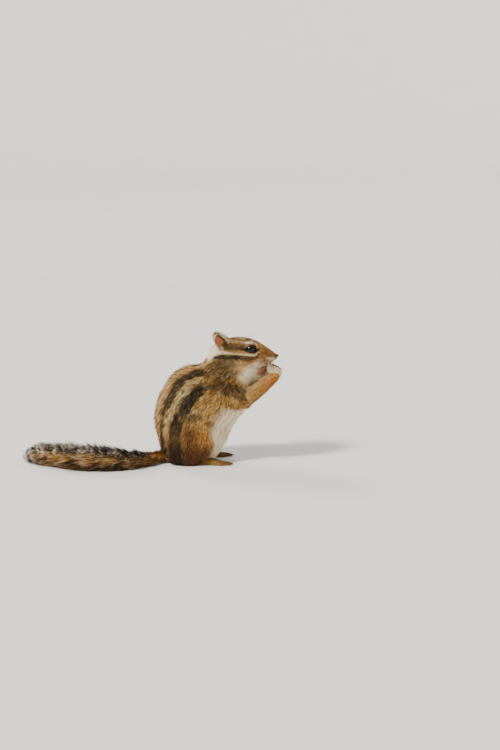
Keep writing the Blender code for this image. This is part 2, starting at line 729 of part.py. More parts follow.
def tail(body):
    """The tail in four lengths, parted along the lie of its hair."""
    path = TailPath()
    draw = random.Random(SEED)
    ends = (0.0, *TAIL_PARTINGS, 1.0)
    nodes = []
    for i in range(len(ends) - 1):
        start, end = ends[i], ends[i + 1]
        made = tail_tube(path, start, min(end, TAIL_CORE_END))
        locks = tail_locks(path, start, end, draw)
        if locks:
            combine(made, locks, "UNION")
        if i > 0:
            combine(made, [tail_bell(path, start, -GAP / 2)], "INTERSECT")
        if end < 1.0:
            combine(made, [tail_bell(path, end, GAP / 2)], "DIFFERENCE")
        if i == 0:
            clear_of(made, body)
        made.name = "tail_" + str(i + 1)
        nodes.append(cut_at_floor(made))
    return nodes


def part_body(body):
    """Cuts the one body into head, neck, torso, upper forelegs and haunches, with thin gaps."""
    nodes = []
    for name, cut in (("head", HEAD_CUT), ("neck", NECK_CUT)):
        piece = copy_of(body, name)
        nodes.append(combine(piece, [slab_above("above", *cut, CUT / 2)], "INTERSECT"))
        combine(body, [slab_above("above", *cut, -CUT / 2)], "DIFFERENCE")
    body.name = "torso"
    nodes.append(body)
    for node in nodes:
        thin_out(node, NODE_TRIANGLES[node.name])
    rest_on_floor(body)
    for side in (RIGHT, LEFT):
        for kind, (centre, radii, tilt_deg) in (("haunch", HAUNCH_REGION), ("upper_foreleg", FORELEG_REGION)):
            nodes.append(carve(body, kind + "_" + side_name(side), on_side(centre, side), radii, tilt_deg))
    return nodes


def carve(body, name, centre, radii, tilt_deg):
    """Parts a piece from the body along an ellipsoid, and leaves a thin gap."""
    inner = ball("inner", centre, [r - CUT / 2 for r in radii], tilt_deg, 12, 18)
    outer = ball("outer", centre, [r + CUT / 2 for r in radii], tilt_deg, 12, 18)
    piece = copy_of(body, name)
    combine(piece, [inner], "INTERSECT")
    combine(body, [outer], "DIFFERENCE")
    return piece


COLOURS = {
    "eye": ((0.012, 0.009, 0.008), 0.08),
    "ear": ((0.55, 0.33, 0.22), 0.7),
    "hind_foot": ((0.58, 0.44, 0.27), 0.8),
    "forepaw": ((0.62, 0.50, 0.38), 0.8),
    "tail": ((0.30, 0.20, 0.12), 0.9),
    "fur": ((0.42, 0.26, 0.13), 0.9),
}


def dress(nodes):
    """Gives each node a material of its own colour."""
    for node in nodes:
        kind = next((k for k in COLOURS if node.name.startswith(k)), "fur")
        colour, roughness = COLOURS[kind]
        material = bpy.data.materials.new(node.name)
        material.use_nodes = True
        shader = material.node_tree.nodes["Principled BSDF"]
        shader.inputs["Base Color"].default_value = (*colour, 1.0)
        shader.inputs["Roughness"].default_value = roughness
        shader.inputs["Metallic"].default_value = 0.0
        node.data.materials.clear()
        node.data.materials.append(material)
        node.data.shade_smooth()
        node.data.set_sharp_from_angle(angle=math.radians(40))


def centre_on_origin(nodes):
    """Moves the animal so that the middle of its footprint is the origin."""
    places = np.array([v.co for node in nodes for v in node.data.vertices])
    low, high = places.min(axis=0), places.max(axis=0)
    shift = Matrix.Translation((-(low[0] + high[0]) / 2, -(low[1] + high[1]) / 2, 0.0))
    for node in nodes:
        node.data.transform(shift)


def main():
    """Builds every node of the animal."""
    clear_scene()
    body = cut_at_floor(flesh())
    eyes = {side: eye_centre(body, side) for side in (RIGHT, LEFT)}
    parted = part_body(copy_of(body, "whole"))
    outline = thin_out(body, CLEARANCE_TRIANGLES)
    nodes = []
    for side in (RIGHT, LEFT):
        arm = forearm(side, outline)
        nodes += [eyeball(side, eyes[side]), ear(side, outline), hind_foot(side, outline)]
        nodes += [arm, forepaw(side, arm)]
    nodes += tail(outline)
    remove(outline)
    cut_face(next(node for node in parted if node.name == "head"), eyes)
    nodes += parted
    dress(nodes)
    centre_on_origin(nodes)


if __name__ == "__main__":
    main()
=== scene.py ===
"""Dresses a life-size sitting chipmunk: one skin, its coat, eyes, nose, claws and whiskers, on a studio floor.

Sizes are in millimetres in the animal's own axes, x forward, y to its left from its middle line and z up
from the floor, unless a name or a docstring says metres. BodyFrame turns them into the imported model's frame.
"""

import itertools
import logging
import math
from collections.abc import Iterable, Mapping, Sequence
from dataclasses import dataclass, field
from enum import Enum
from typing import Any, Union

import bpy
import numpy as np
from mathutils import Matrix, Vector
from mathutils.kdtree import KDTree


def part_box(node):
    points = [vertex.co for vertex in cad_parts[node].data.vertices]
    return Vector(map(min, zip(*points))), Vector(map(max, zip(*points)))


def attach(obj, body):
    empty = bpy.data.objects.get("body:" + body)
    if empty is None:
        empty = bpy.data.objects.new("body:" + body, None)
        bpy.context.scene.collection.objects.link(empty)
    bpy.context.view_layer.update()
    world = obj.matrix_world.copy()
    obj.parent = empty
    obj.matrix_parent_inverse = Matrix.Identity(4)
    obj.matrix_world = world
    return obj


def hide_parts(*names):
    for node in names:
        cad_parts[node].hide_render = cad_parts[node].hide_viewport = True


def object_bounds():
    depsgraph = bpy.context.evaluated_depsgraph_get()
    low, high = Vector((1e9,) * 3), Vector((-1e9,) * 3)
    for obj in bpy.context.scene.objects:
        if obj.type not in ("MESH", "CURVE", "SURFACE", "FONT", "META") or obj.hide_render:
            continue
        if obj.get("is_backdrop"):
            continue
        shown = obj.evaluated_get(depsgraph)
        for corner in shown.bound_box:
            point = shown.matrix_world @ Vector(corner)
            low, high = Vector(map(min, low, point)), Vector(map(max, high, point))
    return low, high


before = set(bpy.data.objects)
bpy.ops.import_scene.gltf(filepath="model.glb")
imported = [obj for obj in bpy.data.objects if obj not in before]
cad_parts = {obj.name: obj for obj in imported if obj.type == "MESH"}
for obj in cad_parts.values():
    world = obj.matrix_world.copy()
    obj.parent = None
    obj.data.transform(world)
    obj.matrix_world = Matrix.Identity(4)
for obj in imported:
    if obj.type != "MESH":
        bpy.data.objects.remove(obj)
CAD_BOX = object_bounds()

LOG = logging.getLogger("chipmunk")
MM = 0.001
Array = np.ndarray
Point = tuple[float, float, float]
BAKE_MAP = "OFBake"


class Side(Enum):
    """The animal's two sides, as the sign of y."""

    RIGHT = -1
    LEFT = 1

    @property
    def word(self) -> str:
        """The side's name in a node or piece."""
        return self.name.lower()


class Mark(Enum):
    """The colours of the coat, in the order in which they are laid over the flank's ochre."""

    GREY = (0.31, 0.26, 0.17)
    RUST = (0.49, 0.28, 0.11)
    TAN = (0.85, 0.67, 0.41)
    PALE = (0.72, 0.63, 0.42)
    CREAM = (0.97, 0.91, 0.78)
    FLAME = (0.75, 0.45, 0.13)
    BROWN = (0.28, 0.165, 0.08)
    DARK = (0.085, 0.055, 0.038)
    PINK = (0.88, 0.54, 0.42)

    @property
    def field(self) -> str:
        """The name of the mesh attribute that holds how much of this colour is laid."""
        return "mark_" + self.name.lower()


OCHRE = (0.70, 0.53, 0.26)
GUARD_HAIR = (0.10, 0.065, 0.045)
TICKED_TIP = (0.95, 0.87, 0.70)
FROSTED_TIP = (0.96, 0.93, 0.86)


def linear(colour: Sequence[float]) -> tuple[float, float, float, float]:
    """Turns a screen colour into the linear one that a shader takes."""
    made = [c / 12.92 if c <= 0.04045 else ((c + 0.055) / 1.055) ** 2.4 for c in colour]
    return (made[0], made[1], made[2], 1.0)


def smooth_step(low: float, high: float, value: Array) -> Array:
    """Eases from 0 at low to 1 at high; low may be the larger, for a fall."""
    share = np.clip((value - low) / (high - low), 0.0, 1.0)
    return share * share * (3.0 - 2.0 * share)


def unit(rows: Array) -> Array:
    """Rows of vectors made one long."""
    return rows / np.maximum(np.linalg.norm(rows, axis=-1, keepdims=True), 1e-12)


def smooth_rows(rows: Sequence[Sequence[float]], per_span: int) -> Array:
    """Reads rows of numbers along a smooth curve through them.

    Args:
        rows: The rows that the curve passes.
        per_span: How many rows come out for each span.

    Returns:
        One row for each place along the curve.
    """
    table = np.array(rows, float)
    padded = np.vstack([2 * table[0] - table[1], table, 2 * table[-1] - table[-2]])
    read = []
    for i, t in itertools.product(range(len(table) - 1), np.arange(per_span) / per_span):
        before, start, end, after = padded[i : i + 4]
        rise = (end - before) * t + (2 * before - 5 * start + 4 * end - after) * t**2
        read.append(start + 0.5 * (rise + (3 * start - before - 3 * end + after) * t**3))
    read.append(table[-1])
    return np.array(read)


def value_noise(places: Array, size: float, seed: int) -> Array:
    """Smooth seeded noise from -1 to 1.

    Args:
        places: Rows of places.
        size: The distance between its peaks, about.
        seed: Which noise.

    Returns:
        One value for each place.
    """
    table = np.random.default_rng(seed).random((32, 32, 32)) * 2 - 1
    spot = places / size + 500.0
    cell = np.floor(spot).astype(np.int64)
    share = spot - cell
    share = share * share * (3 - 2 * share)
    total = np.zeros(len(places))
    for corner in itertools.product((0, 1), repeat=3):
        x, y, z = ((cell + np.array(corner)) % 32).T
        total += table[x, y, z] * np.prod(np.where(corner, share, 1 - share), axis=1)
    return total


class BodyFrame:
    """Turns the animal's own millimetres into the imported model's metres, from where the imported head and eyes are."""

    SNOUT_X = 57.696

    def __init__(self) -> None:
        """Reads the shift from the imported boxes."""
        eyes = [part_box("eye_" + side.word) for side in Side]
        middle_y = sum((low.y + high.y) / 2 for low, high in eyes) / 2
        self.shift = np.array([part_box("head")[1].x - self.SNOUT_X * MM, middle_y, 0.0])

    def metres(self, places: Array) -> Array:
        """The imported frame's place of the animal's own millimetres."""
        return np.asarray(places, float) * MM + self.shift

    def millimetres(self, places: Array) -> Array:
        """The animal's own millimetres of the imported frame's place."""
        return (np.asarray(places, float) - self.shift) / MM

    def ball(self, node: str) -> tuple[Array, float]:
        """The middle and radius of a packed ball, in the animal's own millimetres."""
        low, high = (np.array(corner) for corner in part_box(node))
        return self.millimetres((low + high) / 2), float((high - low).max()) / 2 / MM


BODY = BodyFrame()


class Value:
    """A socket in an expression: arithmetic on it adds Math nodes to its shader."""

    def __init__(self, shader: "Shader", socket: bpy.types.NodeSocket) -> None:
        """Wraps one output socket of a shader."""
        self.shader = shader
        self.socket = socket

    def math(self, operation: str, *others: Any) -> "Value":
        """A Math node on this value and others."""
        return self.shader.math(operation, self, *others)

    def __add__(self, other: Any) -> "Value":
        """self + other."""
        return self.math("ADD", other)

    __radd__ = __add__

    def __sub__(self, other: Any) -> "Value":
        """self - other."""
        return self.math("SUBTRACT", other)

    def __rsub__(self, other: Any) -> "Value":
        """other - self."""
        return self.shader.math("SUBTRACT", other, self)

    def __mul__(self, other: Any) -> "Value":
        """self * other."""
        return self.math("MULTIPLY", other)

    __rmul__ = __mul__

    def __truediv__(self, other: Any) -> "Value":
        """self / other."""
        return self.math("DIVIDE", other)

    def __pow__(self, other: Any) -> "Value":
        """self ** other."""
        return self.math("POWER", other)

    def __gt__(self, other: Any) -> "Value":
        """1 where self is over other, else 0."""
        return self.math("GREATER_THAN", other)

    def __lt__(self, other: Any) -> "Value":
        """1 where self is under other, else 0."""
        return self.math("LESS_THAN", other)

    def clamp(self) -> "Value":
        """Held between 0 and 1."""
        return self.math("MAXIMUM", 0.0).math("MINIMUM", 1.0)

    def ramp(self, low: float, high: float) -> "Value":
        """Eases from 0 at low to 1 at high."""
        share = ((self - low) / (high - low)).clamp()
        return share * share * (3.0 - 2.0 * share)


Feed = Union[Value, float, tuple]


class Shader:
    """A material, and the nodes that feed its surface."""

    def __init__(self, name: str, **constants: Any) -> None:
        """Makes a Principled material.

        Args:
            name: The finish's name.
            constants: Numbers set on the surface's own sockets, with _ for a space.
        """
        self.material = bpy.data.materials.new(name)
        self.material.use_nodes = True
        self.tree = self.material.node_tree
        self.surface = self.tree.nodes["Principled BSDF"]
        for socket, value in constants.items():
            self.surface.inputs[socket.replace("_", " ")].default_value = value

    def node(self, kind: str, settings: Mapping[str, Any], inputs: Mapping[Union[str, int], Feed], output: Union[str, int] = 0) -> Value:
        """Adds any node.

        Args:
            kind: The node's type.
            settings: Its properties, set before its sockets.
            inputs: The values or links of its sockets, by name or number.
            output: The socket that the expression goes on with.

        Returns:
            That socket, wrapped.
        """
        made = self.tree.nodes.new("ShaderNode" + kind)
        for name, value in settings.items():
            setattr(made, name, value)
        for key, value in inputs.items():
            self.feed(made.inputs[key], value)
        return Value(self, made.outputs[output])

    def feed(self, socket: bpy.types.NodeSocket, value: Feed) -> None:
        """Links a wrapped socket, or sets a number or colour."""
        if isinstance(value, Value):
            self.tree.links.new(value.socket, socket)
        else:
            socket.default_value = value

    def math(self, operation: str, *values: Any) -> Value:
        """A Math node on values and numbers."""
        return self.node("Math", {"operation": operation}, dict(enumerate(values)))

    def mix(self, share: Feed, first: Feed, second: Feed, blend: str = "MIX") -> Value:
        """A colour between two colours."""
        settings = {"data_type": "RGBA", "blend_type": blend}
        return self.node("Mix", settings, {0: share, 6: first, 7: second}, 2)

    def attribute(self, name: str) -> Value:
        """A number stored on the mesh."""
        return self.node("Attribute", {"attribute_name": name}, {}, "Fac")

    def place(self, stretch: Point = (1.0, 1.0, 1.0)) -> Value:
        """The place on the object in metres, stretched along its axes."""
        coordinates = self.node("TexCoord", {}, {}, "Object")
        return self.node("Mapping", {}, {"Vector": coordinates, "Scale": stretch})

    def noise(self, size: float, detail: float = 3.0, stretch: Point = (1.0, 1.0, 1.0)) -> Value:
        """Noise from 0 to 1 with lumps of about this size in metres."""
        inputs = {"Vector": self.place(stretch), "Scale": 1.0 / size, "Detail": detail}
        return self.node("TexNoise", {}, inputs, 0)

    def colour(self, value: Feed) -> "Shader":
        """Sets the surface's base colour."""
        self.feed(self.surface.inputs["Base Color"], value)
        return self

    def roughness(self, value: Feed) -> "Shader":
        """Sets the surface's roughness."""
        self.feed(self.surface.inputs["Roughness"], value)
        return self

    def bump(self, height: Value, depth: float, strength: float = 1.0) -> "Shader":
        """Raises the surface by a height from 0 to 1 times a depth in metres."""
        inputs = {"Height": height, "Distance": depth, "Strength": strength}
        self.feed(self.surface.inputs["Normal"], self.node("Bump", {}, inputs, 0))
        return self


@dataclass(frozen=True)
class CoatFinish:
    """Hair or bare skin that carries the coat's markings.

    Attributes:
        name: The finish's name.
        hair: True on hair, which is darker at its root and ticked, and False on skin.
    """

    name: str
    hair: bool

    def painted(self, shader: Shader) -> Value:
        """Lays each mark's colour over the flank's ochre."""
        colour: Feed = linear(OCHRE)
        for mark in Mark:
            colour = shader.mix(shader.attribute(mark.field), colour, linear(mark.value))
        return colour

    def build(self) -> bpy.types.Material:
        """Makes the material."""
        shader = Shader(self.name, Specular_IOR_Level=0.22)
        colour = self.painted(shader)
        mottle = shader.noise(0.0022, 2.0)
        if self.hair:
            tip, chance = shader.attribute("tip"), shader.attribute("chance")
            ticking, band = shader.attribute("ticking"), shader.attribute("band")
            spread = 0.30 + 0.14 * shader.attribute(Mark.TAN.field)
            dark = (chance < spread) * ticking * tip.ramp(0.1, 0.45) * 0.85
            colour = shader.mix(dark, colour, linear(GUARD_HAIR))
            sooty = shader.attribute(Mark.DARK.field) * 0.8 + shader.attribute(Mark.RUST.field) * 0.7
            sooty = sooty + shader.attribute(Mark.BROWN.field) * 0.6
            pale = (chance > 0.80) * ticking * tip.ramp(0.35, 0.9) * (1.0 - sooty).clamp() * 0.6
            colour = shader.mix(pale, colour, linear(TICKED_TIP))
            banded = band * tip.ramp(0.30, 0.48) * 0.9
            colour = shader.mix(banded, colour, linear(GUARD_HAIR))
            fringe = band * (tip + 0.32 * chance).ramp(1.02, 1.14) * 0.85
            colour = shader.mix(fringe, colour, linear(FROSTED_TIP))
            cream = shader.attribute(Mark.CREAM.field)
            light = 0.42 + 0.18 * cream + (0.44 - 0.10 * cream) * tip.ramp(0.0, 0.6)
            light = light + (0.26 - 0.14 * cream) * chance
            shader.roughness(0.62 + 0.2 * mottle)
        else:
            light = 0.42 + 0.25 * mottle
            grain = shader.noise(0.00035, 4.0, (1.0, 1.0, 0.4))
            shader.bump(grain, 0.00018, 0.8).roughness(0.6 + 0.25 * grain)
        grey = shader.node("CombineXYZ", {}, {0: light, 1: light, 2: light})
        shader.colour(shader.mix(1.0, colour, grey, "MULTIPLY"))
        return shader.material


@dataclass(frozen=True)
class EyeFinish:
    """A wet, near-black eye with a brown iris round its pupil."""

    name: str = "eye_wet_black"

    def build(self) -> bpy.types.Material:
        """Makes the material."""
        shader = Shader(self.name, Coat_Weight=0.45, Coat_Roughness=0.02, Specular_IOR_Level=0.08)
        turned, fibre = shader.attribute("off_axis"), shader.noise(0.0003, 4.0)
        iris = shader.mix(fibre, (0.004, 0.0025, 0.002, 1.0), (0.016, 0.009, 0.005, 1.0))
        pupil = (turned + fibre * 0.03).ramp(0.40, 0.46)
        shader.colour(shader.mix(pupil, (0.002, 0.002, 0.002, 1.0), iris))
        shader.roughness(0.08 + 0.05 * fibre)
        return shader.material


@dataclass(frozen=True)
class GrainFinish:
    """Skin, horn or hair of one colour that shades into another.

    Attributes:
        name: The finish's name.
        near: The colour where the shade attribute is 0.
        far: The colour where it is 1.
        rough: The roughness.
        grain: The size of the grain in metres.
        depth: How deep the grain is in metres.
    """

    name: str
    near: Sequence[float]
    far: Sequence[float]
    rough: float = 0.5
    grain: float = 0.0003
    depth: float = 0.00006

    def build(self) -> bpy.types.Material:
        """Makes the material."""
        shader = Shader(self.name, Specular_IOR_Level=0.35)
        grain = shader.noise(self.grain, 4.0)
        share = (shader.attribute("shade") + (grain - 0.5) * 0.3).clamp()
        shader.colour(shader.mix(share, linear(self.near), linear(self.far)))
        shader.roughness(self.rough + 0.15 * grain).bump(grain, self.depth)
        return shader.material


@dataclass(frozen=True)
class FloorFinish:
    """A plain pale studio floor with a faint mottle."""

    name: str = "studio_floor"

    def build(self) -> bpy.types.Material:
        """Makes the material."""
        shader = Shader(self.name, Specular_IOR_Level=0.15)
        mottle = shader.noise(0.05, 5.0)
        shader.colour(shader.mix(mottle, linear((0.86, 0.85, 0.83)), linear((0.90, 0.89, 0.87))))
        shader.roughness(0.75 + 0.1 * mottle)
        return shader.material


@dataclass
class Mesh:
    """Points in metres with their faces and the numbers stored on the points."""

    points: Array
    faces: list[Array]
    numbers: dict[str, Array] = field(default_factory=dict)
    uv: Union[Array, None] = None

    def build(self, name: str, finish: Union[bpy.types.Material, None], slot: str, replaces: Iterable[str] = ()) -> bpy.types.Object:
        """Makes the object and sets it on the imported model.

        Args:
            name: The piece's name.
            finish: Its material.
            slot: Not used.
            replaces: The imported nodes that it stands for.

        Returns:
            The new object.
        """
        mesh = bpy.data.meshes.new(name)
        fill_mesh(mesh, self.points, self.faces)
        for key, values in self.numbers.items():
            made = mesh.attributes.new(key, "FLOAT", "POINT")
            made.data.foreach_set("value", np.asarray(values, np.float32))
        if self.uv is not None:
            corners = np.empty(len(mesh.loops), np.int32)
            mesh.loops.foreach_get("vertex_index", corners)
            layer = mesh.uv_layers.new(name=BAKE_MAP)
            layer.data.foreach_set("uv", self.uv[corners].astype(np.float32).ravel())
        mesh.shade_smooth()
        made = bpy.data.objects.new(name, mesh)
        bpy.context.scene.collection.objects.link(made)
        if finish is not None:
            mesh.materials.append(finish)
        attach(made, "root")
        if replaces:
            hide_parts(*replaces)
        LOG.info("%s: %d points", name, len(self.points))
        return made


def fill_mesh(mesh: bpy.types.Mesh, points: Array, faces: Sequence[Array]) -> None:
    """Puts points and faces into an empty mesh.

    Args:
        mesh: The mesh.
        points: Rows of places.
        faces: One table of faces for each number of corners.
    """
    corners = np.concatenate([table.ravel() for table in faces]).astype(np.int32)
    sizes = np.concatenate([np.full(len(table), table.shape[1]) for table in faces]).astype(np.int32)
    mesh.vertices.add(len(points))
    mesh.vertices.foreach_set("co", np.asarray(points, np.float32).ravel())
    mesh.loops.add(len(corners))
    mesh.loops.foreach_set("vertex_index", corners)
    mesh.polygons.add(len(sizes))
    mesh.polygons.foreach_set("loop_start", np.concatenate([[0], np.cumsum(sizes)[:-1]]).astype(np.int32))
    mesh.update(calc_edges=True)
    mesh.validate()


def mesh_tables(mesh: bpy.types.Mesh) -> tuple[Array, Array]:
    """A mesh's points, and its faces split into triangles."""
    points = np.empty(len(mesh.vertices) * 3, np.float32)
    mesh.vertices.foreach_get("co", points)
    mesh.calc_loop_triangles()
    faces = np.empty(len(mesh.loop_triangles) * 3, np.int32)
    mesh.loop_triangles.foreach_get("vertices", faces)
    return points.reshape(-1, 3).astype(float), faces.reshape(-1, 3)


def point_normals(points: Array, triangles: Array) -> Array:
    """The normal of each point, from the faces round it."""
    a, b, c = (points[triangles[:, i]] for i in range(3))
    across = np.cross(b - a, c - a)
    total = np.zeros_like(points)
    for i in range(3):
        for axis in range(3):
            total[:, axis] += np.bincount(triangles[:, i], across[:, axis], len(points))
    return unit(total)


class Relaxer:
    """Evens out numbers or places over a mesh, each towards those next to it."""

    def __init__(self, triangles: Array, count: int) -> None:
        """Finds each point's neighbours."""
        ends = np.concatenate([triangles[:, [0, 1]], triangles[:, [1, 2]], triangles[:, [2, 0]]])
        ends = np.unique(np.sort(ends, axis=1), axis=0)
        self.first = np.concatenate([ends[:, 0], ends[:, 1]])
        self.second = np.concatenate([ends[:, 1], ends[:, 0]])
        self.count = count
        self.degree = np.maximum(np.bincount(self.first, minlength=count), 1)

    def run(self, values: Array, rounds: int, strength: Union[float, Array] = 0.5) -> Array:
        """Evens out values.

        Args:
            values: One number or row for each point.
            rounds: How many times.
            strength: The share of the way, one number or one for each point.

        Returns:
            The evened values.
        """
        table = values.reshape(self.count, -1).astype(float)
        share = strength if isinstance(strength, float) else strength[:, None]
        for _ in range(rounds):
            mean = np.stack([np.bincount(self.first, column[self.second], self.count) for column in table.T], axis=1)
            table = table + (mean / self.degree[:, None] - table) * share
        return table.reshape(values.shape)


@dataclass(frozen=True)
class Stroke:
    """A band of a mark on the side of the animal, the same on both sides.

    Attributes:
        mark: Its colour.
        path: Rows of x, z and half width.
        soft: How far its edge fades.
        strength: How much of the colour is laid.
    """

    mark: Mark
    path: tuple[Point, ...]
    soft: float = 0.5
    strength: float = 1.0

    def laid(self, places: Array) -> Array:
        """How much of the colour is laid at each place."""
        rows = smooth_rows(self.path, 6)
        best = np.full(len(places), 1e9)
        for start, end in zip(rows[:-1], rows[1:]):
            way = end[:2] - start[:2]
            off = places[:, [0, 2]] - start[:2]
            share = np.clip(off @ way / max(way @ way, 1e-9), 0.0, 1.0)
            near = np.linalg.norm(off - share[:, None] * way, axis=1)
            best = np.minimum(best, near - (start[2] + share * (end[2] - start[2])))
        return smooth_step(self.soft, -self.soft, best) * self.strength


@dataclass(frozen=True)
class Blotch:
    """An oval patch of a mark on the side of the animal.

    Attributes:
        mark: Its colour.
        middle: Its x and z.
        radii: Its half sizes.
        tilt: How far its long way is turned, in degrees.
        soft: The share of its size over which it fades.
        strength: How much of the colour is laid.
    """

    mark: Mark
    middle: tuple[float, float]
    radii: tuple[float, float]
    tilt: float = 0.0
    soft: float = 0.3
    strength: float = 1.0

    def laid(self, places: Array) -> Array:
        """How much of the colour is laid at each place."""
        turn = math.radians(self.tilt)
        x, z = places[:, 0] - self.middle[0], places[:, 2] - self.middle[1]
        across = (x * math.cos(turn) + z * math.sin(turn)) / self.radii[0]
        up = (z * math.cos(turn) - x * math.sin(turn)) / self.radii[1]
        return smooth_step(1.0 + self.soft, 1.0 - self.soft, np.hypot(across, up)) * self.strength


@dataclass
class TrunkMap:
    """Reads how far along the trunk a place is, and how far round it from the back."""

    sections: tuple[tuple[float, ...], ...] = (
        (-21, -4, 2, -4, 12), (-25.5, 2.5, 8, 2.5, 17), (-28.6, 11.5, 14, 9, 20), (-31.2, 22.5, 18.6, 16.5, 21.5),
        (-32.6, 33, 21.2, 22.5, 22), (-30.6, 44, 24.2, 28.5, 21.6), (-26.2, 54.5, 28.2, 34, 20.2),
        (-19, 64.6, 32.4, 39, 18.6), (-9, 70.4, 36, 44, 17), (1.6, 72.8, 39, 50, 15.2), (6.4, 78.6, 40.5, 56, 13.8),
        (8.4, 84.6, 40, 62, 12.6), (12, 87.5, 38, 68, 10.5))
    low: tuple[float, float] = (-45.0, -8.0)
    high: tuple[float, float] = (75.0, 100.0)
    per_span: int = 16

    def __post_init__(self) -> None:
        """Works out the map once, on a grid one millimetre wide."""
        rows = smooth_rows(self.sections, self.per_span)
        x, z = (np.arange(a, b) for a, b in zip(self.low, self.high))
        grid = np.stack(np.meshgrid(x, z, indexing="ij"), axis=-1).reshape(-1, 1, 2)
        back, way = rows[:, :2], rows[:, 2:4] - rows[:, :2]
        off = grid - back
        length = np.linalg.norm(way, axis=1)
        share = (off * way).sum(axis=2) / length**2
        away = np.abs(way[:, 0] * off[..., 1] - way[:, 1] * off[..., 0]) / length
        away += 40.0 * np.maximum(np.abs(share - 0.5) - 0.62, 0.0)
        nearest = away.argmin(axis=1)
        picked = np.arange(len(nearest)), nearest
        found = np.stack([nearest / self.per_span, share[picked], rows[nearest, 4]], axis=-1)
        self.grid = found.reshape(len(x), len(z), 3)

    def read(self, places: Array) -> tuple[Array, Array]:
        """Reads the map.

        Args:
            places: Rows of places.

        Returns:
            The number of the section, and the degrees round the trunk from its back line.
        """
        spot = places[:, [0, 2]] - np.array(self.low)
        spot = np.clip(spot, 0.0, np.array(self.grid.shape[:2]) - 1.001)
        cell = spot.astype(int)
        share = (spot - cell)[..., None]
        i, j = cell.T
        low = self.grid[i, j] * (1 - share[:, 0]) + self.grid[i + 1, j] * share[:, 0]
        high = self.grid[i, j + 1] * (1 - share[:, 0]) + self.grid[i + 1, j + 1] * share[:, 0]
        along, across, half_width = (low * (1 - share[:, 1]) + high * share[:, 1]).T
        turn = np.degrees(np.arctan2(np.abs(places[:, 1]) / half_width, 1.0 - 2.0 * across))
        return along, turn


